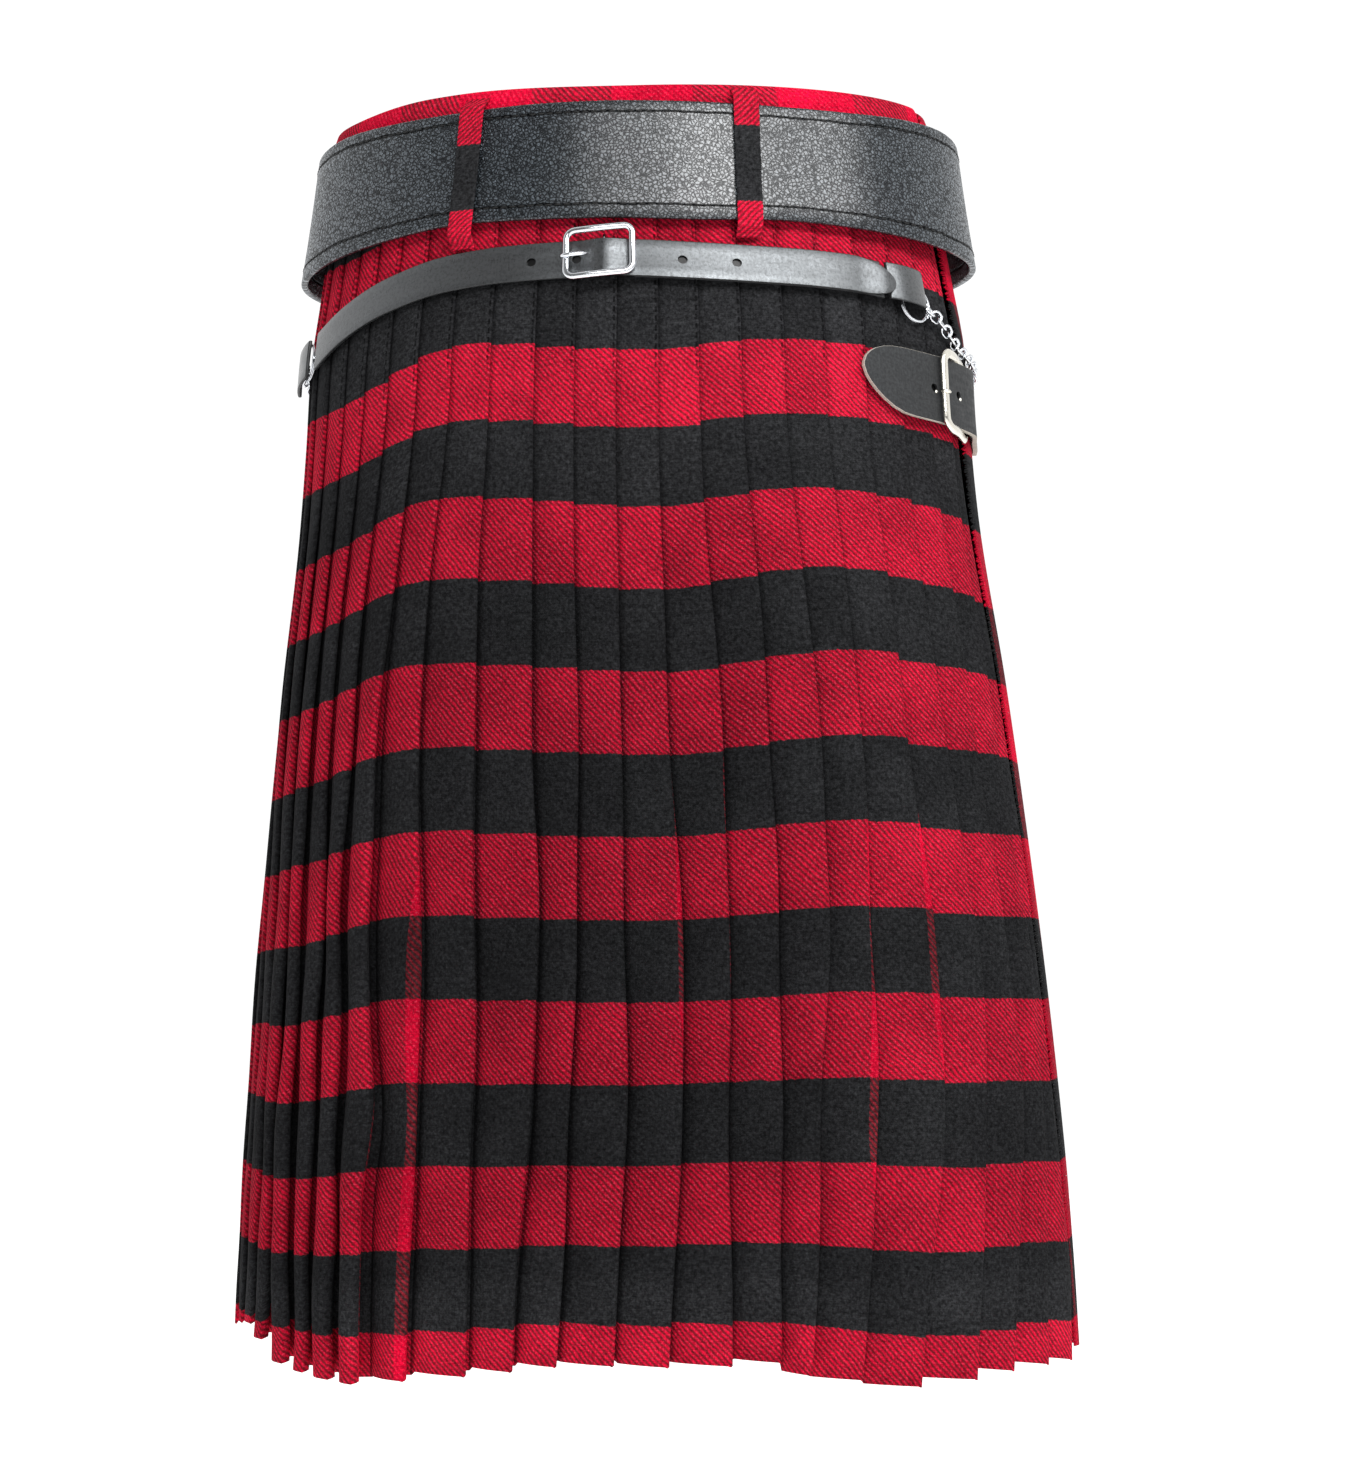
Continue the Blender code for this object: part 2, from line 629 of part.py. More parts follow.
def make_side_buckle():
    """The frame's left bar lies over the strap and its right bar lies under it."""
    middle = (SIDE_FRAME_LEFT + SIDE_FRAME_RIGHT) / 2
    per_mm = degrees_for(1.0, 148.0, middle)
    width = (SIDE_FRAME_RIGHT - SIDE_FRAME_LEFT) / per_mm

    def at(across, down):
        angle = middle + across * per_mm
        share = ease(SIDE_FRAME_LEFT, SIDE_FRAME_RIGHT, angle)
        return place(side_strap_depth(angle) + down, angle, 10.7 - 6.8 * share)

    height = SIDE_BUCKLE_HEIGHT - 2 * SIDE_BUCKLE_BAR
    wire("side_buckle", rounded_frame(at, width, height, 4.0), SIDE_BUCKLE_BAR, "nickel", closed=True)


def make_side_tab():
    """The leather tab under the strap that holds the buckle on the pleats."""
    columns = [[place(side_strap_depth(angle) + 14.0 * level, angle, 4.9) for level in (-1, 0, 1)]
               for angle in spread(57.5, 68.0, 3.0)]
    wall("side_buckle_tab", columns, 0.9, "strap_leather")


def make_side_prong():
    """The prong's end, which comes up through the strap and rests on the frame's left bar."""
    middle = side_strap_depth(SIDE_FRAME_LEFT) + 1.0
    points = [place(middle, angle, 13.7) for angle in (61.4, 62.6, 64.0)]
    wire("side_prong", points, 0.8, "nickel")


# ---------------------------------------------------------------- the whole kilt

def main():
    clear_scene()
    make_pleats()
    make_over_apron()
    make_under_apron()
    make_apron_fringe()
    make_waistband()
    make_belt_loop("belt_loop_left", -26.5, -28.1)
    make_belt_loop("belt_loop_right", 24.6, 23.4)
    make_belt()
    make_belt_buckle()
    make_sporran_strap()
    make_strap_end("sporran_strap_end_left", END_LEFT, 7.6, 2.6)
    make_strap_end("sporran_strap_end_right", END_RIGHT, 7.6, 2.2)
    make_sporran_buckle()
    make_sporran_bar()
    make_sporran_prong()
    make_ring("split_ring_right", 58.9, 102.9, RING_OUT)
    make_ring("split_ring_left", -74.6, 115.8, RING_OUT)
    make_chain("chain_right", CHAIN_RIGHT)
    make_chain("chain_left", CHAIN_LEFT)
    make_ring("chain_join_ring", 180.0, 152.0, CHAIN_FRONT_OUT, 8.0)
    make_side_strap()
    make_side_buckle()
    make_side_tab()
    make_side_prong()


main()
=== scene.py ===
"""Cloth, leather and metal for the kilt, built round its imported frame."""
from collections import namedtuple
from functools import lru_cache
from math import atan, ceil, cos, hypot, pi, radians, sin

import bmesh
import bpy
from bpy.props import FloatProperty, FloatVectorProperty, IntProperty, PointerProperty
from mathutils import Matrix, Vector


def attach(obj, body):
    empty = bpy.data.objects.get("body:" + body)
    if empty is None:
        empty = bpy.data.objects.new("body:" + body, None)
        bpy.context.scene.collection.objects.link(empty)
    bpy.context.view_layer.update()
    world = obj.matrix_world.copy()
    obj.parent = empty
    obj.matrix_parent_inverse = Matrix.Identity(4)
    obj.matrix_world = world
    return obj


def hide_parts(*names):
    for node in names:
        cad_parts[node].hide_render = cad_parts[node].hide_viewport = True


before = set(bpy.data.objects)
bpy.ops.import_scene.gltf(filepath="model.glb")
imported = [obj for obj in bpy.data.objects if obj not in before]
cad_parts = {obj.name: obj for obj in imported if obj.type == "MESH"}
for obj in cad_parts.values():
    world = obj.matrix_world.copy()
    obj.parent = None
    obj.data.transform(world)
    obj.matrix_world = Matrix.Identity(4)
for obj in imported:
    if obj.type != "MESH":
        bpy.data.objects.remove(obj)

bl_info = {
    "name": "Kilt",
    "version": (1, 0, 0),
    "blender": (4, 5, 0),
    "location": "View3D > Sidebar > Kilt",
    "description": "Makes a pleated kilt with its belt and straps",
    "category": "Add Mesh",
}

MM = 0.001


# ---------------------------------------------------------------- sizes and colours

def size(label, about, millimetres):
    return FloatProperty(name=label, description=about, default=millimetres * MM, unit="LENGTH")


def colour(label, about, red, green, blue):
    return FloatVectorProperty(name=label, description=about, subtype="COLOR", size=3, min=0.0,
                               max=1.0, default=(red, green, blue))


class KiltCloth(bpy.types.PropertyGroup):
    thickness: size("Thickness", "How thick the woven cloth is", 0.9)
    sett: size("Sett", "One red and one black stripe together, across the cloth", 76.2)
    band_sett: size("Band sett", "One red and one black band together, down the cloth", 76.4)
    first_black: size("First black band", "Depth of the middle of the first black band", 113.5)
    twill: size("Twill", "Distance from one twill line to the next", 2.95)
    stitched: size("Stitched", "The pleats are stitched flat down to this depth", 145.0)
    pleat_take: size("Pleat take", "Cloth that one pleat takes up", 50.6)
    red: colour("Red", "Colour of the red yarn", 0.42, 0.0016, 0.0200)
    black: colour("Black", "Colour of the black yarn", 0.0118, 0.0120, 0.0128)


class KiltBelt(bpy.types.PropertyGroup):
    height: size("Height", "Height of the wide belt", 58.5)
    thickness: size("Thickness", "Thickness of the wide belt", 3.4)
    stitch: size("Stitch", "Length of one stitch", 3.3)
    stitch_pitch: size("Stitch pitch", "Distance from one stitch to the next", 4.4)
    loop_width: size("Loop width", "Width of a cloth belt loop", 11.5)
    leather: colour("Belt leather", "Colour of the pebbled leather", 0.005, 0.006, 0.008)


class KiltStraps(bpy.types.PropertyGroup):
    narrow: size("Narrow strap", "Width of the strap that carries the chain", 18.6)
    wide: size("Hip strap", "Width of the strap at the hip", 33.0)
    hole: size("Hole", "Radius of a punched hole", 2.1)
    leather: colour("Strap leather", "Colour of the smooth leather", 0.014, 0.014, 0.0145)
    cut: colour("Cut edge", "Colour of the leather's cut edge", 0.60, 0.56, 0.49)


class KiltMetal(bpy.types.PropertyGroup):
    link_pitch: size("Link pitch", "Distance from one chain link to the next", 5.3)
    link_wire: size("Link wire", "Radius of the wire of a chain link", 0.75)
    ring_turns: IntProperty(name="Ring turns", description="Turns of wire in a split ring",
                            default=2, min=1, max=3)
    chrome: colour("Chrome", "Colour of the chromed pieces", 0.72, 0.74, 0.77)
    nickel: colour("Nickel", "Colour of the hip buckle", 0.80, 0.77, 0.69)


class KiltStage(bpy.types.PropertyGroup):
    lens: FloatProperty(name="Lens", description="Focal length of the camera",
                        default=114.58, unit="CAMERA")
    floor: size("Floor", "How far the floor is below the waist", 700.0)
    floor_colour: colour("Floor colour", "Colour of the pale floor", 0.95, 0.95, 0.95)
    floor_glow: FloatProperty(name="Floor glow", description="Light that the lit floor gives back",
                              default=0.5)
    front_power: FloatProperty(name="Front light", description="Power of the soft front light",
                               default=7.5, unit="POWER")
    bright: FloatProperty(name="Bright side", description="Light from behind and from the sides",
                          default=1.06)
    dim: FloatProperty(name="Dim side", description="Light from the front", default=0.12)
    key_power: FloatProperty(name="Key light", description="Power of the key light",
                             default=14.5, unit="POWER")


# ---------------------------------------------------------------- the body's form

# depth, half width, back reach, front reach and sideways shift of each ring, in millimetres
SECTIONS = (
    (0.0, 145.0, 98.5, 96.0, -1.6),
    (45.0, 151.0, 102.0, 100.5, -1.4),
    (80.0, 156.5, 107.0, 104.5, -1.2),
    (115.0, 162.0, 115.5, 108.5, -1.2),
    (160.0, 164.5, 124.0, 113.0, -1.8),
    (210.0, 168.5, 130.0, 117.0, -1.8),
    (280.0, 177.5, 135.5, 122.3, -1.0),
    (350.0, 185.0, 139.8, 126.8, -0.4),
    (430.0, 192.8, 144.0, 131.8, 0.0),
    (510.0, 199.3, 147.3, 136.0, 0.0),
    (570.0, 202.5, 149.0, 138.0, 0.0),
    (610.0, 203.8, 149.8, 138.8, 0.0),
)
# angle, width in degrees and rise of each half of the seat, and of the dip between them
SEAT_LOBES = ((31, 15, 4.6), (-29, 15, 4.6), (9, 10.5, -4.6))
SEAT_STARTS, SEAT_ENDS = (160.0, 240.0), (330.0, 520.0)  # depths where it comes and goes
BELL = 2.718  # base of the bell curve across each of them
DROP = 610.0  # from the waist's top edge to the hem
FELL = 145.0  # depth where the pleats' stitching ends
LAYER = 1.6  # room that one layer of loose cloth takes
PLEAT_RISE = 3.2  # how far the first pleat starts off the base line
FACE_STEP = 3.0  # how much higher a face's hidden edge hangs than its fold
HEM_EASE_START = 470.0  # depth where a pleat's own hem level starts to show
TWO_SETTS = 152.4  # cloth between the same place of two pleats in the real cut

# One row per pleat: its fold's angle at four depths, how far the fold stands off at the hem,
# the depth that it reaches there, and how far the stripe has slipped past the fold between
# two depths.
Pleat = namedtuple("Pleat", "fell thigh knee hem lift reach slip slip_from slip_to",
                   defaults=(0.0, 0.0, 0.0))
PLEAT_DEPTHS = (FELL, 300.0, 460.0, DROP)
PLEATS = (
    Pleat(-91.0, -88.5, -84.0, -83.0, 0.0, 590.0),
    Pleat(-82.0, -80.5, -74.5, -74.5, 1.0, 589.0),
    Pleat(-73.3, -72.4, -66.5, -66.7, 3.0, 589.0),
    Pleat(-64.8, -65.0, -60.2, -60.2, 6.0, 596.0),
    Pleat(-57.4, -58.6, -55.0, -54.2, 8.0, 607.0),
    Pleat(-50.6, -52.2, -49.4, -49.0, 7.0, 611.0),
    Pleat(-43.9, -46.2, -43.8, -43.2, 9.0, 614.0),
    Pleat(-36.9, -38.8, -38.2, -38.0, 11.0, 616.0),
    Pleat(-29.6, -31.2, -29.9, -31.0, 4.0, 615.0, 10.5, 400.0, 700.0),
    Pleat(-21.9, -22.2, -21.0, -22.3, 3.0, 613.0),
    Pleat(-13.9, -13.0, -12.6, -15.6, 4.0, 611.0),
    Pleat(-7.0, -6.6, -7.0, -9.8, 3.0, 609.0),
    Pleat(0.0, 0.0, 0.0, -2.4, 3.0, 609.0),
    Pleat(7.0, 7.2, 7.4, 4.9, 4.0, 610.0, 6.5, 300.0, 440.0),
    Pleat(13.8, 14.6, 14.0, 12.6, 5.0, 610.0, 6.5, 320.0, 430.0),
    Pleat(21.1, 22.0, 20.6, 19.3, 4.0, 609.0),
    Pleat(28.8, 29.2, 27.2, 22.9, 7.0, 615.0),
    Pleat(36.8, 36.2, 35.0, 30.0, 5.0, 618.0, 8.5, 350.0, 500.0),
    Pleat(45.3, 45.4, 45.6, 39.0, 6.0, 622.0, 6.0, 350.0, 440.0),
    Pleat(54.2, 53.9, 55.6, 48.9, 2.6, 620.0),
    Pleat(62.6, 62.6, 64.2, 57.0, 1.8, 617.0),
    Pleat(70.8, 70.2, 71.6, 65.6, 2.2, 615.0),
    Pleat(79.0, 78.0, 80.0, 75.0, 1.2, 614.0),
    Pleat(87.0, 86.5, 88.0, 84.5, 1.0, 612.0),
)
PLEATS_START = -97.0  # angle where the cloth of the first pleat starts
PLEATS_TAIL = 2.0  # cloth past the last fold
APRON_EDGE_TOP, APRON_EDGE_SWING = 79.0, 3.0  # angle of the free edge, and its swing to the hem
APRON_OUT, APRON_SIDE = 0.9, 0.78  # height out, and the share where it rises to the first pleat
TUCK, TUCK_RUN, TUCK_LEAD = 6.5, 5.5, 6.0  # how far in, over how many degrees, and from where
UNDER_APRON_END, UNDER_APRON_DROP = 250.0, 604.0  # angle of its far edge, and its hem's depth
FRONT_DROP = 608.0  # depth of the over apron's hem across the front
SEAM = 0.4  # gap between the over apron and the first pleat
# how far the waistband stands over the waist, how far it rides up at the back, its height out
BAND_PROUD, BAND_RISE, BAND_OUT = 1.0, 2.2, 4.8
BAND_UP, BAND_DOWN = (-65.0, -38.0), (-30.0, 5.0)  # angles where it rides up and comes down
BAND_LEVEL = 121.0  # how far down the check the waistband's lower edge is cut

# How far the bands of the check hang below their level, by depth and by angle: they ride up
# over the seat and sink between its halves.
HANG_ANGLES = (-90, -70, -60, -52, -44, -36, -28, -20, -10, 0, 10, 20, 30, 40, 50, 62, 76, 95)
HANG_DEPTHS = (132.6, 209.0, 285.4, 361.8, 438.2, 514.6, 591.0)
HANG = (
    (12, 14, 13.5, 10, 3.5, -5, -9, -8, -4.5, -2, -1.5, -5.5, -7, -6.5, -5, -3, 0, 0),
    (10, 12, 9.5, 6.5, -0.5, -8, -10, -8, -5, -1.5, -1.5, -6.5, -10, -10, -8, -4.5, 0, 0),
    (9, 10, 8.5, 4.5, -0.5, -5.5, -6, -4, -1.5, 1, 1.5, -2.5, -6.5, -8, -4, -2.5, 0, 0),
    (9, 10.5, 8, 6.5, 2, -2, -3, -1, 1.5, 3, 3, 0, -3, -3, -0.5, 0.5, -0.5, 0),
    (6, 6.5, 9, 7.5, 4.5, -0.5, -0.5, 1, 2.5, 4, 4, 2.5, 0.5, 1, 3, 3, 2.5, 0),
    (-6, -0.5, 5, 6, 4.5, 1.5, 1, 2, 2, 3.5, 2.5, 2.5, 3.5, 5.5, 6.5, 4.5, 4.5, 0),
    (-12, -6, -2.5, 0.5, 3, 3, 2, 1, -1, 0.5, 0, 0.5, 5.5, 9, 8.5, 5, 4.5, 0),
)


def smooth_value(places, values, at):
    """Value at a place on the smooth curve through the given values."""
    if at <= places[0]:
        return values[0]
    if at >= places[-1]:
        return values[-1]
    k = max(i for i, knot in enumerate(places) if knot <= at)

    def slope(i):
        before, after = max(i - 1, 0), min(i + 1, len(places) - 1)
        return (values[after] - values[before]) / (places[after] - places[before])

    run = places[k + 1] - places[k]
    t = (at - places[k]) / run
    return (values[k] * (2 * t**3 - 3 * t**2 + 1) + values[k + 1] * (3 * t**2 - 2 * t**3)
            + run * slope(k) * (t**3 - 2 * t**2 + t) + run * slope(k + 1) * (t**3 - t**2))


def ease(start, end, at):
    """0 before start, 1 after end, and a smooth step between them."""
    t = min(max((at - start) / (end - start), 0.0), 1.0)
    return t * t * (3 - 2 * t)


@lru_cache(None)
def section(depth):
    """Half width, back reach, front reach and shift of the smooth base line at a depth."""
    places = [row[0] for row in SECTIONS]
    return tuple(smooth_value(places, [row[k] for row in SECTIONS], depth) for k in (1, 2, 3, 4))


def seat(depth, angle):
    """How far the cloth stands off the plain base line over the seat."""
    strength = ease(*SEAT_STARTS, depth) * (1 - ease(*SEAT_ENDS, depth))
    if not strength or abs(angle) > 90:
        return 0.0
    return strength * sum(rise * BELL ** -(((angle - middle) / width) ** 2)
                          for middle, width, rise in SEAT_LOBES)


def place(depth, angle, out=0.0, drop=0.0):
    """Point at a depth and an angle, moved out from the base line and down by a drop."""
    half_width, back, front, shift = section(depth)
    turn = radians(angle)
    reach = back if cos(turn) > 0 else front
    normal = Vector((sin(turn) / half_width, -cos(turn) / reach, 0)).normalized()
    point = Vector((shift + half_width * sin(turn), -reach * cos(turn), -depth - drop))
    return point + (out + seat(depth, angle)) * normal


def degrees_for(length, depth, angle):
    """Angle that a length covers round the body."""
    half_width, back, front, _ = section(depth)
    turn = radians(angle)
    reach = back if cos(turn) > 0 else front
    return length / hypot(half_width * cos(turn), reach * sin(turn)) * 180 / pi


def apron_edge(depth):
    """Angle of the over apron's free edge."""
    return APRON_EDGE_TOP + APRON_EDGE_SWING * ease(0.0, DROP, depth)


def tuck(depth, angle):
    """How far the cloth is pressed in where the over apron covers it."""
    start = apron_edge(depth) - TUCK_LEAD
    return -TUCK * ease(start, start + TUCK_RUN, angle)


def hem_ease(depth):
    """Share of a pleat's own hem level that is reached at a depth."""
    return max(0.0, (depth - HEM_EASE_START) / (DROP - HEM_EASE_START)) ** 2


@lru_cache(None)
def hang(depth, angle):
    """How far the check's bands hang below their level at a place."""
    down = [smooth_value(HANG_ANGLES, row, angle) for row in HANG]
    return smooth_value(HANG_DEPTHS, down, depth)


def spread(start, end, step):
    """Evenly spaced values from start to end, about a step apart."""
    count = max(1, round(abs(end - start) / step))
    return [start + (end - start) * i / count for i in range(count + 1)]


def band_top(angle):
    """Depth of the waistband's top edge, which rides up a little left of centre back."""
    return -BAND_PROUD - BAND_RISE * ease(*BAND_UP, angle) * (1 - ease(*BAND_DOWN, angle))


def wave(seed, depth, length):
    """Gentle wave down the cloth, from -1 to 1, with a phase of its own for each seed."""
    return (0.65 * sin(2 * pi * depth / length + 2.399 * seed)
            + 0.35 * sin(2 * pi * depth / (0.43 * length) + 5.12 * seed))


# ---------------------------------------------------------------- materials

class Value:
    """A number that a node gives, for sums with other values and plain numbers."""

    def __init__(self, made, socket):
        self.made, self.socket = made, socket

    def __add__(self, other):
        return self.made.maths("ADD", self, other)

    def __sub__(self, other):
        return self.made.maths("SUBTRACT", self, other)

    def __rsub__(self, other):
        return self.made.maths("SUBTRACT", other, self)

    def __mul__(self, other):
        return self.made.maths("MULTIPLY", self, other)

    def __truediv__(self, other):
        return self.made.maths("DIVIDE", self, other)

    def __abs__(self):
        return self.made.maths("ABSOLUTE", self)


class Finish:
    """A material while its nodes are being joined up."""

    def __init__(self, name, base, roughness, **sockets):
        self.material = bpy.data.materials.new(name)
        self.material.use_nodes = True
        self.tree = self.material.node_tree
        self.shader = self.tree.nodes["Principled BSDF"]
        self.shade(Base_Color=(*base, 1.0), Roughness=roughness, **sockets)

    def set(self, node, socket, value):
        """Joins a value to the node's input, or sets the input to a plain number or colour."""
        if isinstance(value, Value):
            value = value.socket
        if isinstance(value, bpy.types.NodeSocket):
            self.tree.links.new(value, node.inputs[socket])
        elif value is not None:
            node.inputs[socket].default_value = value

    def shade(self, **sockets):
        """Sets the surface's inputs, with _ for each space in their names."""
        for socket, value in sockets.items():
            self.set(self.shader, socket.replace("_", " "), value)

    def node(self, kind, **inputs):
        node = self.tree.nodes.new("ShaderNode" + kind)
        for socket, value in inputs.items():
            self.set(node, socket.replace("_", " "), value)
        return node

    def maths(self, operation, first, second=None, third=None, clamp=False):
        node = self.node("Math")
        node.operation, node.use_clamp = operation, clamp
        for k, value in enumerate((first, second, third)):
            self.set(node, k, value)
        return Value(self, node.outputs[0])

    def blend(self, share, first, second, how="MIX"):
        """Two colours blended, each a plain one or a socket."""
        node = self.node("Mix")
        node.data_type, node.blend_type = "RGBA", how
        self.set(node, 0, share)
        for socket, dye in ((6, first), (7, second)):
            plain = not isinstance(dye, bpy.types.NodeSocket)
            self.set(node, socket, (*dye, 1.0) if plain else dye)
        return node.outputs[2]

    def toned(self, dye, tone):
        """A colour made darker or lighter by a tone."""
        grey = self.node("CombineColor", Red=tone, Green=tone, Blue=tone)
        return self.blend(1.0, dye, grey.outputs[0], "MULTIPLY")

    def ramp(self, value, low, high, to_low=0.0, to_high=1.0):
        """Smooth step from to_low to to_high while value goes from low to high."""
        node = self.node("MapRange", Value=value, From_Min=low, From_Max=high, To_Min=to_low,
                         To_Max=to_high)
        node.interpolation_type = "SMOOTHSTEP"
        return Value(self, node.outputs[0])

    def parts(self, source):
        """First two numbers of the piece's own coordinates."""
        split = self.node("SeparateXYZ", Vector=self.node("TexCoord").outputs[source])
        return Value(self, split.outputs["X"]), Value(self, split.outputs["Y"])

    def noise(self, scale, detail=2.0, roughness=0.5, source="UV", vector=None):
        vector = vector or self.node("TexCoord").outputs[source]
        return Value(self, self.node("TexNoise", Vector=vector, Scale=scale, Detail=detail,
                                     Roughness=roughness).outputs["Fac"])

    def streaks(self, along, across, detail=4.0, roughness=0.5, source="UV"):
        """Noise with a scale of its own in each direction of the piece."""
        mapping = self.node("Mapping", Vector=self.node("TexCoord").outputs[source],
                            Scale=(along, across, along if source == "Object" else 1.0))
        return self.noise(1.0, detail, roughness, vector=mapping.outputs[0])

    def attribute(self, name):
        node = self.node("Attribute")
        node.attribute_name = name
        return Value(self, node.outputs["Fac"])

    def bump(self, height, distance, strength=1.0, under=None):
        node = self.node("Bump", Height=height, Distance=distance, Strength=strength,
                         Normal=under)
        self.shade(Normal=node.outputs[0])
        return node.outputs[0]


STRIPE_BLUR = 0.3 * MM  # half the width over which a stripe's edge fades
SEW_PITCH, SEW_IN = 0.0046, 1.1  # metres from one stitch to the next, millimetres from the fold
YARN_TWIST = 0.0012  # length of one twist of the fringe's yarn


def check_stripe(made, at, middle, sett):
    """1 on a black stripe and 0 on a red one."""
    away = made.maths("PINGPONG", at - middle, sett / 2)
    return made.ramp(away, sett / 4 - STRIPE_BLUR, sett / 4 + STRIPE_BLUR, 1.0, 0.0)


def tartan(name, cloth, sewn=False):
    """Red and black check in a two and two twill that follows the cloth's own threads."""
    made = Finish(name, cloth.red, 0.9, Specular_IOR_Level=0.04)
    u, v = made.parts("UV")
    wander = made.noise(55.0, 3.0) - 0.5
    ragged = made.streaks(700.0, 60.0, 2.0) - 0.5
    warp_black = check_stripe(made, wander * 0.0010 + u, 0.0, cloth.sett)
    weft_black = check_stripe(made, ragged * 0.0016 + (wander * 0.0014 + v),
                              cloth.first_black, cloth.band_sett)

    # the twill line drifts a little, as the threads are not evenly beaten
    drift = made.noise(120.0) - 0.5
    worn = made.noise(1050.0, roughness=0.6) - 0.5
    step = made.maths("PINGPONG", drift * 0.9 + (u - v) / cloth.twill, 0.5)
    weft_up = made.ramp(worn * 0.34 + step, 0.08, 0.42)
    turn = pi / (cloth.twill / 4)
    across = drift * (0.9 * cloth.twill) + u
    beads = abs(made.maths("SINE", across * turn) * made.maths("SINE", v * turn))
    # how much of the weft shows; on a black band it covers the red warp more
    weft_share = beads * 0.06 + (weft_up * 0.55 + 0.32)
    weft_share = weft_black * (weft_share * -0.55 + 0.55) + weft_share

    warp = made.blend(warp_black, cloth.red, [0.85 * part for part in cloth.black])
    weft = made.blend(weft_black, cloth.red, cloth.black)
    slubs = made.ramp(made.streaks(160.0, 1500.0, 3.0, 0.65), 0.25, 0.75, 0.72, 1.28)
    ends = made.ramp(made.streaks(1400.0, 220.0, 3.0, 0.65), 0.25, 0.75, 0.78, 1.22)
    lint = made.ramp(made.noise(640.0, 4.0, 0.75), 0.30, 0.70, 0.62, 1.38)
    patches = (made.ramp(made.noise(13.0, 4.0), 0.3, 0.7, 0.80, 1.20)
               * made.ramp(made.noise(48.0, 3.0), 0.3, 0.7, 0.88, 1.12))
    soften = weft_black * -0.9 + 1.0
    shade = (weft_up * 0.24 + beads * 0.24 - 0.22) * soften + 1.0
    # painted light: the cloth in its top 0.15 m is made up to 1.24 times lighter, the stronger
    # light from above painted into its tone
    tone = slubs * ends * lint * patches * shade * made.ramp(v, 0.15, 0.24, 1.24, 1.0)
    if sewn:
        stitch, folded = sewing(made, cloth, v)
        tone = tone * folded
    dyed = made.toned(made.blend(weft_share, warp, weft), tone)
    specks = made.ramp(made.noise(430.0, 5.0, 0.8), 0.36, 0.64, 0.50, 1.50)
    dyed = made.toned(dyed, (specks - 1.0) * weft_black + 1.0)

    # painted highlight: pale glints on the crests of the weft, mixed with the pale fibres of real
    # fluff, both weaker on the black bands
    glint = made.ramp(made.noise(1150.0), 0.50, 0.66, 0.0, 0.26) * weft_up
    fluff_and_glint = glint + made.ramp(made.noise(1900.0), 0.56, 0.74, 0.0, 0.08)
    pale = made.blend(weft_black, (0.74, 0.10, 0.17), (0.055, 0.057, 0.066))
    made.shade(Base_Color=made.blend(fluff_and_glint * (weft_black * -0.55 + 1.0), dyed, pale))
    height = made.noise(2600.0) * 0.7 + (weft_up + beads) * soften
    normal = made.bump(height, 0.00018, 0.8)
    if sewn:
        made.bump(stitch * -1.0, 0.0003, 1.0, normal)
    return made.material


def sewing(made, cloth, v):
    """Where the pleats' stitches are, and the tone of their cloth: painted shade along and under
    the folds and over the middle of the seat, and lighter along the hem.
    """
    fold = made.attribute("from_fold")
    near = 1.0 - made.ramp(abs(fold - SEW_IN), 0.25, 0.65)
    dash = made.ramp(made.maths("PINGPONG", v / SEW_PITCH, 0.5), 0.14, 0.26)
    end = cloth.stitched
    stitch = near * dash * made.ramp(v, end - 0.006, end + 0.001, 1.0, 0.0)
    # painted shade: the cloth is made up to 16% darker within 1.6 mm of each fold's edge
    fold_edge_shade = made.ramp(abs(fold), 0.2, 1.6, 0.84, 1.0)
    # painted shadow: each face is made darker for about 4 mm from its root, where it comes out
    # from under the fold before it, more so below the stitching
    under_fold_shadow = made.ramp(made.attribute("from_root"), 0.4, 4.2, 1.0, 0.0)
    shaded = made.ramp(v, end, end + 0.20, 0.35, 0.72)
    # lighter along the hem strip, from about 0.56 m down
    hem = made.ramp(v, 0.562, 0.576, 1.0, 1.36)
    sideways, _ = made.parts("Object")
    # painted shade: the middle of the seat, from about 0.19 m to 0.56 m down, is made up to 27%
    # darker, where the hollow between its halves turns from the light
    seat_middle_shade = (made.ramp(abs(sideways - 0.005), 0.050, 0.140, 1.0, 0.0)
              * (made.ramp(v, 0.19, 0.27) * made.ramp(v, 0.52, 0.56, 1.0, 0.0)))
    tone = made.ramp(stitch, 0.0, 1.0, 1.0, 0.35) * fold_edge_shade * (1.0 - under_fold_shadow * shaded)
    return stitch, tone * hem * (seat_middle_shade * -0.27 + 1.0)


def fringe_yarn(name, cloth):
    """The cloth's own loose weft ends, so their colour follows its bands."""
    made = Finish(name, cloth.red, 0.9, Specular_IOR_Level=0.05)
    u, v = made.parts("UV")
    band = check_stripe(made, v, cloth.first_black, cloth.band_sett)
    twist = made.maths("SINE", (u + v) * (2 * pi / YARN_TWIST))
    tone = made.ramp(twist + made.noise(900.0), -0.4, 1.4, 0.6, 1.25)
    made.shade(Base_Color=made.toned(made.blend(band, cloth.red, cloth.black), tone))
    made.bump(twist, 0.0002, 0.8)
    return made.material


BLACK = (0.0, 0.0, 0.0)
# distance of the belt's stitching from its upper and its lower edge, in millimetres
STITCH_TOP, STITCH_LOW = 5.5, 7.0


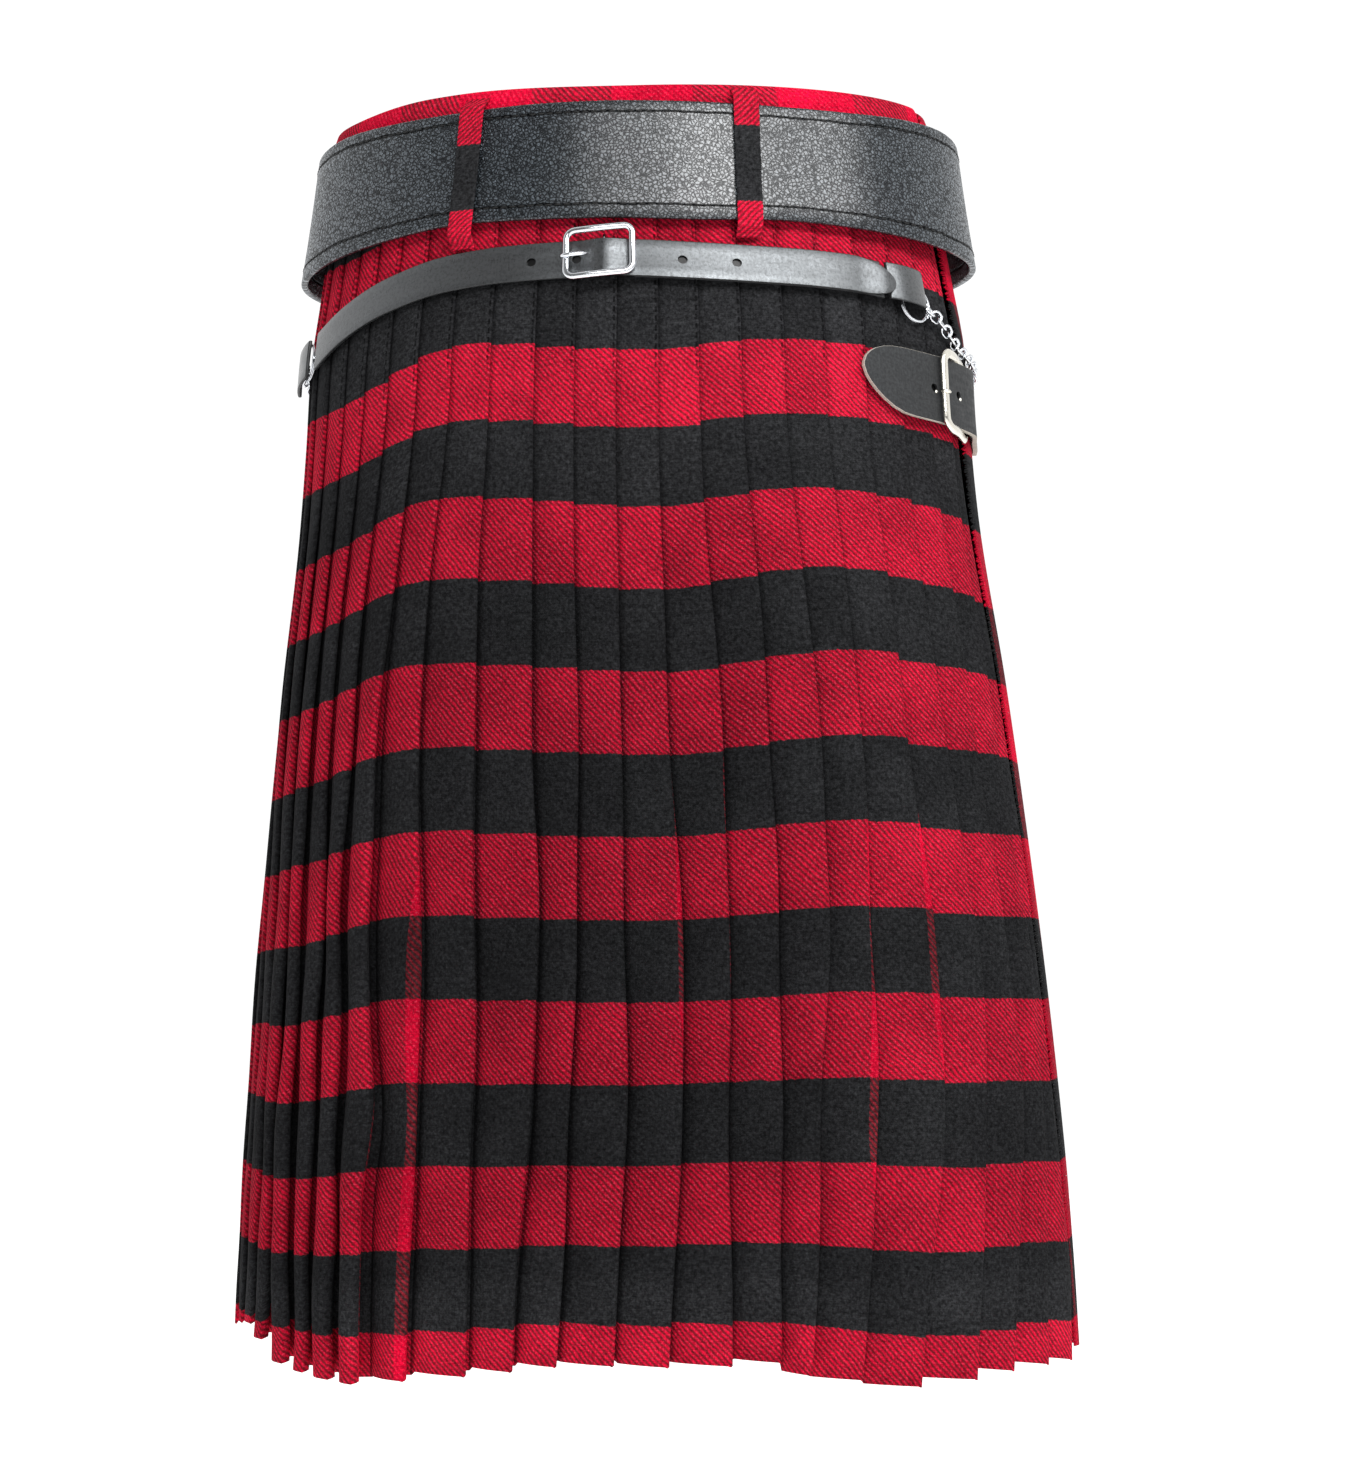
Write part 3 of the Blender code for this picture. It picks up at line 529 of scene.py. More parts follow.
def pebbled_leather(name, belt):
    """Thick leather with a pressed pebble grain and a stitched groove near each edge."""
    made = Finish(name, belt.leather, 0.38, IOR=1.72, Specular_Tint=(0.84, 0.93, 1.0, 1.0),
                  Coat_IOR=1.7, Coat_Roughness=0.27, Coat_Tint=(0.85, 0.93, 1.0, 1.0))
    _, v = made.parts("UV")
    swirl = made.noise(260.0)
    swirled = made.node("VectorMath")
    swirled.operation = "MULTIPLY_ADD"
    for socket, value in enumerate((made.node("CombineXYZ", X=swirl, Y=swirl).outputs[0],
                                    (0.0016, 0.0016, 0.0),
                                    made.node("TexCoord").outputs["UV"])):
        made.set(swirled, socket, value)

    def pebbles(scale):
        cells = made.node("TexVoronoi", Vector=swirled.outputs[0], Scale=scale)
        cells.feature = "DISTANCE_TO_EDGE"
        return made.ramp(cells.outputs["Distance"], 0.02, 0.30)

    lumps = made.noise(420.0, 3.0, 0.6)
    grain = lumps * 0.35 + (pebbles(1150.0) * 0.45 + pebbles(560.0))
    half = belt.height / 2
    wavy = (made.noise(45.0) - 0.5) * 0.0022 + v
    away = made.maths("MINIMUM", abs(wavy + (half - STITCH_TOP * MM)),
                      abs(wavy - (half - STITCH_LOW * MM)))
    groove = made.ramp(away, 0.0002, 0.0010)
    worn = made.attribute("cut") * made.ramp(made.noise(300.0, 4.0), 0.45, 0.7, 0.0, 0.4)
    # painted shade: the stitched grooves are made darker, to a quarter as bright in their middle,
    # and below they are given less reflection
    tone = (made.ramp(grain, 0.1, 1.5, 0.35, 1.35)
            * made.ramp(made.noise(30.0, 3.0), 0.3, 0.7, 0.85, 1.15) * (groove * 0.75 + 0.25))
    base = made.blend(tone, BLACK, belt.leather)
    made.shade(
        Base_Color=made.blend(worn, base, (0.05, 0.05, 0.052)),
        Specular_IOR_Level=(made.ramp(grain, 0.30, 1.15, 0.08, 0.62)
                            * made.ramp(groove, 0.0, 1.0, 0.3, 1.0)),
        Coat_Weight=made.ramp(grain, 0.25, 1.25, 0.22, 0.84) * groove,
        Roughness=made.maths("MULTIPLY_ADD", 1.0 - groove, 0.3,
                             made.ramp(grain, 0.1, 1.2, 0.56, 0.38), clamp=True))
    made.bump(groove * 1.8 + (lumps * 0.9 + grain * (groove * 0.8 + 0.2)), 0.00062, 0.9)
    return made.material


def smooth_leather(name, leather, roughness, shine, cut_edge):
    """Thin leather with its own colour on the cut edge, and painted shade in its punched holes."""
    made = Finish(name, leather, roughness, Specular_Tint=(0.88, 0.95, 1.0, 1.0),
                  Coat_Weight=0.65 * shine, Coat_Roughness=roughness)
    creases = made.streaks(1100.0, 160.0, roughness=0.65)
    rubbed = made.streaks(60.0, 420.0, roughness=0.7)
    cut = made.attribute("cut")
    edge = made.ramp(cut, 0.35, 0.8)
    # painted shade: inside the punched holes the leather is made far darker, and below it is given
    # no reflection there
    tone = (made.ramp(made.noise(70.0, 4.0), 0.3, 0.7, 0.8, 1.3)
            * made.ramp(cut, -0.8, -0.2, 0.15, 1.0))
    mottle = made.ramp(made.noise(650.0, 4.0, 0.7), 0.34, 0.66, 0.55, 1.35)
    gloss = made.maths("MULTIPLY", made.ramp(cut, -0.8, -0.2, 0.0, shine), mottle, clamp=True)
    rough = (made.ramp(creases, 0.3, 0.7, 0.8 * roughness, 1.2 * roughness)
             * made.ramp(rubbed, 0.3, 0.7, 0.85, 1.25))
    raw = made.blend(made.noise(700.0, 3.0), [0.45 * part for part in cut_edge], cut_edge)
    made.shade(Base_Color=made.blend(edge, made.blend(tone, BLACK, leather), raw),
               Specular_IOR_Level=gloss * made.ramp(edge, 0.0, 1.0, 1.0, 0.3),
               Roughness=made.maths("MULTIPLY_ADD", edge, 0.4, rough, clamp=True))
    made.bump(made.noise(2400.0, 3.0) * 0.5 + (rubbed * 0.1 + creases), 0.00006, 0.8)
    return made.material


def plated(name, base, roughness):
    """Plated metal with fine scratches and a slight unevenness."""
    made = Finish(name, base, roughness, Metallic=1.0)
    marks = made.streaks(500.0, 2600.0, roughness=0.7, source="Object")
    dull = made.ramp(made.noise(130.0, 4.0, source="Object"), 0.35, 0.75, 0.0, 0.35)
    made.shade(Roughness=made.ramp(marks, 0.3, 0.75, roughness * 0.7, roughness * 1.6),
               Base_Color=made.blend(dull, base, [0.72 * part for part in base]))
    made.bump(marks, 0.00003, 0.5)
    return made.material


def thread(name, base):
    """Twisted sewing thread."""
    made = Finish(name, base, 0.6, Specular_IOR_Level=0.3)
    strands = made.streaks(900.0, 3500.0, 2.0)
    made.shade(Base_Color=made.blend(strands, [0.5 * part for part in base],
                                     [1.5 * part for part in base]))
    made.bump(strands, 0.0001, 0.7)
    return made.material


def finish_of(name, scene):
    """The material of that name, made when it is first asked for."""
    if name in bpy.data.materials:
        return bpy.data.materials[name]
    cloth, straps, metal = scene.kilt_cloth, scene.kilt_straps, scene.kilt_metal
    return {
        "tartan_pleats": lambda: tartan(name, cloth, sewn=True),
        "tartan_plain": lambda: tartan(name, cloth),
        "loose_yarn": lambda: fringe_yarn(name, cloth),
        "pebbled_leather": lambda: pebbled_leather(name, scene.kilt_belt),
        "polished_leather": lambda: smooth_leather(name, straps.leather, 0.33, 0.95,
                                                   straps.leather),
        "hip_leather": lambda: smooth_leather(name, straps.leather, 0.62, 0.32, straps.cut),
        "bright_chrome": lambda: plated(name, metal.chrome, 0.12),
        "pale_nickel": lambda: plated(name, metal.nickel, 0.22),
        "belt_thread": lambda: thread(name, (0.006, 0.006, 0.006)),
    }[name]()


# ---------------------------------------------------------------- making pieces

SHARP = 0.7  # a bend over this angle stays crisp, where a piece has crisp edges


def as_mesh(bm, name):
    mesh = bpy.data.meshes.new(name)
    bm.to_mesh(mesh)
    bm.free()
    return mesh


def add_piece(context, name, mesh, material, *replaced, sharp=0.0):
    piece = bpy.data.objects.new(name, mesh)
    context.scene.collection.objects.link(piece)
    mesh.materials.clear()
    mesh.materials.append(finish_of(material, context.scene))
    mesh.shade_smooth()
    if sharp:
        mesh.set_sharp_from_angle(angle=sharp)
    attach(piece, "root")
    if replaced:
        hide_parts(*replaced)
    return piece


def add_cloth(context, name, rows, thickness, length, held, rests_on, *replaced,
              material="tartan_plain", **measures):
    """Adds a cloth piece with a wall as thick as the cloth, and works out the width of its cut
    from its area and the length it hangs, but does not keep it.
    """
    piece = add_piece(context, name, cloth_mesh(name, rows, **measures), material, *replaced)
    wall = piece.modifiers.new("wall", "SOLIDIFY")
    wall.thickness, wall.offset, wall.use_even_offset = thickness, 0.0, True
    area = sum(face.area for face in piece.data.polygons)
    ceil(1000 * area / length) / 1000


def add_strip(context, name, stations, thickness, round_edge, lay, material, *replaced,
              sharp=0.0, **details):
    """Adds a flat leather strip that lay puts on the body."""
    mesh = flat_strip(name, stations, thickness, round_edge, **details)
    add_piece(context, name, laid(mesh, lay), material, *replaced, sharp=sharp)


def add_bar(context, name, knots, wide, thick, material, *replaced, **details):
    """Adds a metal bar that runs along knots."""
    mesh = bar_mesh(name, knots, wide, thick, **details)
    add_piece(context, name, mesh, material, *replaced)


def running_lengths(points):
    """Length along a row of points, at each of them."""
    lengths = [0.0]
    for a, b in zip(points, points[1:]):
        lengths.append(lengths[-1] + (b - a).length)
    return lengths


def cloth_mesh(name, rows, **measures):
    """Cloth from rows of (point, before, after, level), with named measures at its points.

    before and after are how far along the cloth a point is, seen from the column before it and
    the column after it, and level is how far down. Lengths are in millimetres.
    """
    across, down = len(rows[0]), len(rows)
    bm = bmesh.new()
    bmesh.ops.create_grid(bm, x_segments=across - 1, y_segments=down - 1, size=1.0)
    bm.verts.ensure_lookup_table()
    for j, row in enumerate(rows):
        for i, knot in enumerate(row):
            bm.verts[j * across + i].co = knot[0] * MM
    flat = bm.loops.layers.uv.new("UVMap")
    for face in bm.faces:
        left = min(corner.index % across for corner in face.verts)
        for loop in face.loops:
            j, i = divmod(loop.vert.index, across)
            _, before, after, level = rows[j][i]
            loop[flat].uv = ((after if i == left else before) * MM, level * MM)
    for measure, values in measures.items():
        layer = bm.verts.layers.float.new(measure)
        for corner in bm.verts:
            corner[layer] = values[corner.index // across][corner.index % across]
    bmesh.ops.reverse_faces(bm, faces=bm.faces)
    return as_mesh(bm, name)


class Line:
    """A line round the body, with places by the length along it."""

    def __init__(self, start, end, depth_at, out_at, step=0.5):
        self.depth_at, self.out_at = depth_at, out_at
        self.angles = spread(start, end, step)
        self.lengths = running_lengths([place(depth_at(angle), angle, out_at(angle))
                                        for angle in self.angles])
        self.length = self.lengths[-1]

    def angle(self, along):
        along = min(max(along, 0.0), self.length)
        low, high = 0, len(self.lengths) - 1
        while high - low > 1:
            middle = (low + high) // 2
            low, high = (middle, high) if self.lengths[middle] <= along else (low, middle)
        run = self.lengths[high] - self.lengths[low]
        share = (along - self.lengths[low]) / run if run else 0.0
        return self.angles[low] + (self.angles[high] - self.angles[low]) * share

    def along(self, angle):
        """Length along the line at an angle."""
        first, last, steps = self.angles[0], self.angles[-1], len(self.angles) - 1
        k = max(1, min(steps, ceil((angle - first) / (last - first) * steps)))
        share = (angle - self.angles[k - 1]) / (self.angles[k] - self.angles[k - 1])
        return self.lengths[k - 1] + (self.lengths[k] - self.lengths[k - 1]) * share

    def lay(self, flat):
        """Point for a flat place: along the line, down from it and out from it."""
        angle = self.angle(flat.x)
        over = flat.x - min(max(flat.x, 0.0), self.length)
        if over:
            angle += degrees_for(over, self.depth_at(angle), angle)
        return place(self.depth_at(angle) + flat.y, angle, self.out_at(angle) + flat.z)


def straight(length, half, step):
    """Stations of a strip with straight sides."""
    return [(along, half, 0.0) for along in spread(0.0, length, step)]


def pointed(length, half, run, blunt, step):
    """Stations of a strip with a point at its end."""
    tip = []
    for share in (0.2, 0.4, 0.6, 0.75, 0.87, 0.95, 1.0):
        width = blunt + (1 - blunt) * (1 - share ** 2.1) ** 0.62
        tip.append((length - run + run * share, half * width, 0.0))
    return straight(length - run, half, step) + tip


HOLE_STRETCH = 1.12  # a worn hole is a little longer than it is high
RIM_ANGLE = 1.2  # a strip's edges with a sharper bend than this are rounded


def flat_strip(name, stations, thickness, round_edge, across=4, holes=(), hole=0.0):
    """Flat leather strip in millimetres, from stations of (along, half width, middle).

    Its edges are rounded. The cut attribute is 1 on them and -1 inside the punched holes.
    """
    bm = bmesh.new()
    bmesh.ops.create_grid(bm, x_segments=len(stations) - 1, y_segments=across, size=1.0)
    bm.verts.ensure_lookup_table()
    for corner in bm.verts:
        along, half, middle = stations[corner.index % len(stations)]
        corner.co = (along, middle + half * corner.co.y, -thickness / 2)
    top = bmesh.ops.extrude_face_region(bm, geom=list(bm.faces))
    risen = [part for part in top["geom"] if isinstance(part, bmesh.types.BMVert)]
    bmesh.ops.translate(bm, verts=risen, vec=(0, 0, thickness))
    bmesh.ops.recalc_face_normals(bm, faces=bm.faces)
    rim = [edge for edge in bm.edges if edge.calc_face_angle(0.0) > RIM_ANGLE]
    bmesh.ops.bevel(bm, geom=rim, offset=round_edge, segments=3, profile=0.5, affect="EDGES",
                    material=-1, clamp_overlap=True)
    mesh = as_mesh(bm, name)
    if holes:
        mesh = punched(mesh, holes, hole, thickness)
    bm = bmesh.new()
    bm.from_mesh(mesh)
    flat = bm.loops.layers.uv.new("UVMap")
    cut = bm.verts.layers.float.new("cut")
    for corner in bm.verts:
        spot = corner.co
        corner[cut] = 1.0 if abs(spot.z) < thickness / 2 - 0.02 else 0.0
        if any(hypot((spot.x - x) / HOLE_STRETCH, spot.y - y) < hole + 0.05 for x, y in holes):
            corner[cut] = -1.0 if spot.z < thickness / 2 - 0.1 else 0.0
        for loop in corner.link_loops:
            loop[flat].uv = (spot.x * MM, spot.y * MM)
    bm.to_mesh(mesh)
    bm.free()
    return mesh


def punched(mesh, holes, radius, thickness):
    """The mesh with slightly stretched holes, nearly as deep as the leather is thick."""
    bm = bmesh.new()
    for x, y in holes:
        bmesh.ops.create_cone(bm, cap_ends=True, segments=20, radius1=radius, radius2=radius,
                              depth=thickness * 2,
                              matrix=Matrix.Translation((x, y, thickness * 0.75))
                              @ Matrix.Diagonal((HOLE_STRETCH, 1.0, 1.0, 1.0)))
    blank = bpy.data.objects.new("blank", mesh)
    cutter = bpy.data.objects.new("cutter", as_mesh(bm, "cutter"))
    for thing in (blank, cutter):
        bpy.context.scene.collection.objects.link(thing)
    cut = blank.modifiers.new("holes", "BOOLEAN")
    cut.operation, cut.solver, cut.object = "DIFFERENCE", "EXACT", cutter
    graph = bpy.context.evaluated_depsgraph_get()
    made = bpy.data.meshes.new_from_object(blank.evaluated_get(graph))
    for thing in (blank, cutter):
        bpy.data.objects.remove(thing)
    made.name = mesh.name
    return made


def laid(mesh, lay):
    """Lays a flat mesh in millimetres on the body and turns it into metres."""
    for corner in mesh.vertices:
        corner.co = lay(corner.co.copy()) * MM
    mesh.update()
    bm = bmesh.new()
    bm.from_mesh(mesh)
    bmesh.ops.recalc_face_normals(bm, faces=bm.faces)
    bm.to_mesh(mesh)
    bm.free()
    return mesh


def strewn(name, one, turns):
    """Mesh with a copy of one mesh for each turn."""
    bm = bmesh.new()
    for turn in turns:
        start = len(bm.verts)
        bm.from_mesh(one)
        bm.verts.ensure_lookup_table()
        bmesh.ops.transform(bm, matrix=turn, verts=bm.verts[start:])
    bpy.data.meshes.remove(one)
    return as_mesh(bm, name)


def stitch_row(name, places, length, width, rise):
    """Flat row of stitches: a small slim ball of thread at each (along, down, out)."""
    bm = bmesh.new()
    bmesh.ops.create_uvsphere(bm, u_segments=6, v_segments=5, radius=1.0)
    bmesh.ops.scale(bm, verts=bm.verts, vec=(width, rise, length / 2))
    bmesh.ops.rotate(bm, verts=bm.verts, matrix=Matrix.Rotation(pi / 2, 3, "Y"))
    flat = bm.loops.layers.uv.new("UVMap")
    for face in bm.faces:
        for loop in face.loops:
            loop[flat].uv = (loop.vert.co.x * MM, loop.vert.co.y * MM)
    return strewn(name, as_mesh(bm, "stitch"), [Matrix.Translation(spot) for spot in places])


def bar_mesh(name, knots, wide, thick, closed=False, sides=10):
    """Bar with an oval section, swept along knots of (point, outward normal)."""
    bm = bmesh.new()
    rings = []
    count = len(knots)
    for k, (point, normal) in enumerate(knots):
        ahead = knots[(k + 1) % count][0] if closed or k < count - 1 else point
        behind = knots[k - 1][0] if closed or k else point
        run = (ahead - behind).normalized()
        side = run.cross(normal).normalized()
        out = side.cross(run).normalized()
        ring = bmesh.ops.create_circle(bm, segments=sides, radius=1.0)["verts"]
        for corner in ring:
            across, up = corner.co.x * wide / 2, corner.co.y * thick / 2
            corner.co = (point + side * across + out * up) * MM
        rings.append(set(ring))
    loops = [[edge for edge in bm.edges if ring.issuperset(edge.verts)] for ring in rings]
    for k in range(count if closed else count - 1):
        bmesh.ops.bridge_loops(bm, edges=loops[k] + loops[(k + 1) % count])
    if not closed:
        for end in (loops[0], loops[-1]):
            bmesh.ops.contextual_create(bm, geom=end)
    bmesh.ops.recalc_face_normals(bm, faces=bm.faces)
    return as_mesh(bm, name)


def rounded_frame(width, height, corner, steps=5):
    """Closed row of (across, down) places round a frame with rounded corners."""
    places = []
    for side, level, start in ((1, -1, 270), (1, 1, 0), (-1, 1, 90), (-1, -1, 180)):
        for i in range(steps + 1):
            turn = radians(start + 90 * i / steps)
            places.append((side * (width / 2 - corner) + corner * cos(turn),
                           level * (height / 2 - corner) + corner * sin(turn)))
    dense = []
    for a, b in zip(places, places[1:] + places[:1]):
        count = max(1, round(hypot(b[0] - a[0], b[1] - a[1]) / 3.0))
        dense += [(a[0] + (b[0] - a[0]) * i / count, a[1] + (b[1] - a[1]) * i / count)
                  for i in range(count)]
    return dense


def outward(depth, angle):
    return (place(depth, angle, 1.0) - place(depth, angle)).normalized()


# ---------------------------------------------------------------- cloth pieces

# places across a pleat's face, and the turns round its fold, in degrees
FACE_SHARES = (0.08, 0.24, 0.42, 0.60, 0.80, 1.0)
FOLD_TURNS = (50.0, 10.0, -35.0, -80.0)
PRESSED = 0.62  # how much thinner a layer is under the stitching
LOOSE_FROM = 420.0  # depth where the cloth hangs quite free of its stitching
TANGLED = 8  # the first pleats swing more
AWAY = 20.0  # a point's distance from its fold or root where it has none near
# length that each cloth is cut to, in metres, and the thickness of the folded pieces
PLEATS_CUT, OVER_CUT, UNDER_CUT, BAND_CUT, LOOP_CUT = 0.61, 0.609, 0.607, 0.083, 0.084
BAND_THICKNESS, LOOP_THICKNESS = 0.0011, 0.0013
# columns of the aprons and the distance between their rows
OVER_COLUMNS, UNDER_COLUMNS, APRON_ROWS = 76, 56, 10.0


def fold_at(k, depth):
    """Angle of a pleat's fold with its own small wander."""
    if k < 0:
        return PLEATS_START
    pleat = PLEATS[k]
    sway = ((0.9 + 0.20 * pleat.lift) * ease(FELL, LOOSE_FROM, depth)
            * (1 - 0.6 * ease(500, DROP, depth)))
    fold = smooth_value(PLEAT_DEPTHS, pleat[:4], depth)
    if k < TANGLED:
        sway += 1.9 * ease(360.0, 480.0, depth) * cos(2 * pi * depth / 118.0 + 1.7 * k)
    return fold + degrees_for(sway * wave(k, depth, 290.0 + 17 * (k % 5)), depth, fold)


def pleat_places(k, depth, take):
    """One pleat's line at a depth as (angle, out) places, its face's width and degrees per mm.

    Down to the fell the stitching presses the layers together.
    """
    root, fold = fold_at(k - 1, depth), fold_at(k, depth)
    per_mm = degrees_for(1.0, depth, fold)
    layer = LAYER - PRESSED * (1 - ease(FELL - 5, FELL + 130, depth))
    next_root = 0.3 * (LAYER - layer)
    root_out = next_root if k else PLEAT_RISE
    lift = PLEATS[k].lift * ease(FELL - 20, DROP, depth)
    loose = ease(FELL, LOOSE_FROM, depth)
    top = (2 * layer + root_out * 0.5 + lift
           + (0.45 + 0.10 * PLEATS[k].lift) * loose * wave(k + 40, depth, 210.0 + 11 * (k % 4)))
    if k == 0:
        top = max(top, PLEAT_RISE + lift)
    radius = layer / 2 + (0.24 if k <= TANGLED else 0.15) * lift
    start = fold - radius * per_mm
    bulge = 0.35 * loose + 0.10 * lift

    def height(share):
        return (root_out + (top - root_out) * (1 - (1 - share) ** 1.7)
                + bulge * sin(pi * share) * (1 + 0.4 * wave(k + 80, depth, 170.0)))

    # the face, the fold, the cloth back to the crease, the crease and the next pleat's root
    places = [(root + share * (start - root), height(share)) for share in FACE_SHARES]
    for turn in FOLD_TURNS:
        places.append((start + radius * cos(radians(turn)) * per_mm,
                       top - radius + radius * sin(radians(turn))))
    face = (fold - root) / per_mm
    crease = fold - min((take - face) / 2, 0.80 * face) * per_mm
    at_crease = height(max(0.06, (crease - root) / (start - root))) - layer
    middle = (crease + start) / 2
    places.append((middle, height((middle - root) / (start - root)) - radius - layer / 2))
    for turn in (60.0, 0.0, -60.0):
        places.append((crease + layer / 2 * (1 - cos(radians(turn))) * per_mm,
                       at_crease - layer / 2 * (1 - sin(radians(turn)))))
    places.append(((crease + fold) / 2, (at_crease - layer + next_root) / 2))
    places.append((fold, next_root))
    return places, face, per_mm


def pleat_rows(cloth):
    """Rows of the pleated cloth, and each point's distance from its fold and from its root."""
    take = cloth.pleat_take / MM
    apex = len(FACE_SHARES) + len(FOLD_TURNS) + 2
    outer = len(FACE_SHARES) + 1
    final = len(PLEATS) - 1
    rows, folds, roots = [], [], []
    for depth in [0.0] + spread(8.0, DROP, 7.8):
        hem = hem_ease(depth)
        made = [pleat_places(k, depth, take) for k in range(len(PLEATS))]

        def slip(k):
            """How far the check has slipped past the fold."""
            if k > final or not PLEATS[k].slip:
                return 0.0
            start, end = PLEATS[k].slip_from, PLEATS[k].slip_to
            return (PLEATS[k].slip * ease(start - 60, start + 25, depth)
                    * (1 - ease(end, end + 60, depth)))

        def level(k, angle):
            """How far down the cloth a point of pleat k's face is."""
            own = (fold_at(k - 1, depth) + fold_at(min(k, final), depth)) / 2
            down = depth + (PLEATS[min(k, final)].reach - DROP) * hem
            return down - hang(round(down, 1), round(own + 0.45 * (angle - own), 1))

        root, face = fold_at(-1, depth), made[0][1]
        row = [(place(depth, root, PLEAT_RISE + tuck(depth, root), (PLEATS[0].reach - DROP) * hem),
                -face / 2, -face / 2, level(0, root))]
        fold_row, root_row = [face], [0.0]
        for k, (places, face, per_mm) in enumerate(made):
            line = [(fold_at(k - 1, depth), 0.0 if k else PLEAT_RISE)] + places
            lengths = [0.0]
            for a, b in zip(line, line[1:]):
                lengths.append(lengths[-1] + hypot((b[0] - a[0]) / per_mm, b[1] - a[1]))
            next_face = made[k + 1][1] if k < final else AWAY
            middle, ahead = k * TWO_SETTS + slip(k), (k + 1) * TWO_SETTS + slip(k + 1)
            fold_level, next_level = level(k, line[outer][0]), level(k + 1, line[-1][0])
            for n, (angle, out) in enumerate(line[1:], 1):
                before = middle - face / 2 + lengths[n]
                after = ahead - next_face / 2 - (lengths[-1] - lengths[n])
                if n < apex:
                    after = before
                elif n > apex:
                    before = after
                if n <= outer:
                    higher, down = 1 - n / outer, level(k, angle)
                else:
                    back = (n - outer) / (len(line) - 1 - outer)
                    higher = min(1.0, 2 * back)
                    down = fold_level + (next_level - fold_level) * back
                drop = (PLEATS[k].reach - FACE_STEP * higher - DROP) * hem
                row.append((place(depth, angle, out + tuck(depth, angle), drop),
                            before, after, down))
                fold_row.append(lengths[outer + 1] - lengths[n])
                root_row.append(lengths[n] if n < len(line) - 1 else 0.0)
        last = fold_at(final, depth)
        end = last + degrees_for(PLEATS_TAIL, depth, last)
        tail = row[-1][2] + PLEATS_TAIL
        drop = (PLEATS[-1].reach - FACE_STEP - DROP) * hem
        row.append((place(depth, end, tuck(depth, end), drop), tail, tail, row[-1][3]))
        rows.append(row)
        folds.append(fold_row + [AWAY])
        roots.append(root_row + [AWAY])
    return rows, folds, roots


class KiltPleatsOperator(bpy.types.Operator):
    """Makes the pleated cloth, from the wearer's left hip round the back to the right hip."""
    bl_idname = "kilt.pleats"
    bl_label = "Pleats"

    def execute(self, context):
        cloth = context.scene.kilt_cloth
        rows, folds, roots = pleat_rows(cloth)
        add_cloth(context, "kilt_pleats", rows, cloth.thickness, PLEATS_CUT, "hung",
                  ["waistband_on_pleats"], "pleats", material="tartan_pleats",
                  from_fold=folds, from_root=roots)
        return {"FINISHED"}


def apron_reach(share):
    """How far down the over apron reaches, and how much it has risen to the first pleat."""
    side = ease(APRON_SIDE, 1.0, share)
    return FRONT_DROP + (PLEATS[0].reach - FRONT_DROP) * side, side


def apron_place(share, depth, above=0.0):
    """Point of the over apron, or of what lies above it, at a share of the way round."""
    end = 360.0 + PLEATS_START
    start = apron_edge(depth)
    reach, side = apron_reach(share)
    out = APRON_OUT + (PLEAT_RISE - APRON_OUT) * side + above
    angle = start + (end - degrees_for(SEAM, depth, end) - start) * share
    loose = ease(FELL, DROP, depth) * ease(95.0, 125.0, angle) * (1 - ease(232.0, 258.0, angle))
    out += loose * (1.6 * sin(radians(angle) * 9.0) + 0.9 * wave(3, depth + angle, 260.0))
    return place(depth, angle, out, (reach - DROP) * hem_ease(depth))


def apron_level(share, depth):
    """How far down the cloth a point of the over apron is."""
    down = depth + (apron_reach(share)[0] - DROP) * hem_ease(depth)
    angle = apron_edge(depth) + (360.0 + PLEATS_START - apron_edge(depth)) * share
    if angle > 180:
        return down - hang(round(down, 1), -90.0) * ease(225.0, 262.0, angle)
    return down - hang(round(down, 1), round(min(angle, 95.0), 1))


APRON_FROM_STRIPE = 10.0  # from the over apron's end to the middle of a black stripe


class KiltApronsOperator(bpy.types.Operator):
    """Makes the over apron and the under apron, which cross at the front."""
    bl_idname = "kilt.aprons"
    bl_label = "Aprons"

    def execute(self, context):
        over, under = [], []
        for depth in spread(0.0, DROP, APRON_ROWS):
            shares = spread(0.0, 1.0, 1.0 / OVER_COLUMNS)
            points = [apron_place(share, depth) for share in shares]
            lengths = running_lengths(points)
            over.append([(point, *[length - lengths[-1] - APRON_FROM_STRIPE] * 2,
                          apron_level(share, depth))
                         for point, length, share in zip(points, lengths, shares)])

            fold = fold_at(len(PLEATS) - 1, depth)
            start = fold + degrees_for(PLEATS_TAIL + 0.1, depth, fold)
            first_reach = PLEATS[-1].reach - FACE_STEP
            points, drops = [], []
            for share in spread(0.0, 1.0, 1.0 / UNDER_COLUMNS):
                reach = first_reach + (UNDER_APRON_DROP - first_reach) * ease(0.0, 0.2, share)
                angle = start + (UNDER_APRON_END - start) * share
                drops.append((reach - DROP) * hem_ease(depth))
                points.append(place(depth, angle, tuck(depth, angle), drops[-1]))
            under.append([(point, *[len(PLEATS) * TWO_SETTS + length] * 2, depth + drop)
                          for point, length, drop in zip(points, running_lengths(points), drops)])
        thickness = context.scene.kilt_cloth.thickness
        add_cloth(context, "kilt_over_apron", over, thickness, OVER_CUT, "hung",
                  ["waistband_on_apron"], "over_apron")
        add_cloth(context, "kilt_under_apron", under, thickness, UNDER_CUT, "hung",
                  ["waistband_on_apron"], "under_apron")
        return {"FINISHED"}


# depths where the fringe starts and ends, and the distance between its yarns
FRINGE_TOP, FRINGE_END, FRINGE_PITCH = 43.0, 606.0, 1.5
YARN_LENGTH, YARN_ROOT, YARN_TIP = 3.6, 0.50, 0.32  # its length, and its radius at each end
YARN_OVER = 2.4  # how high the yarn lies over the pleats


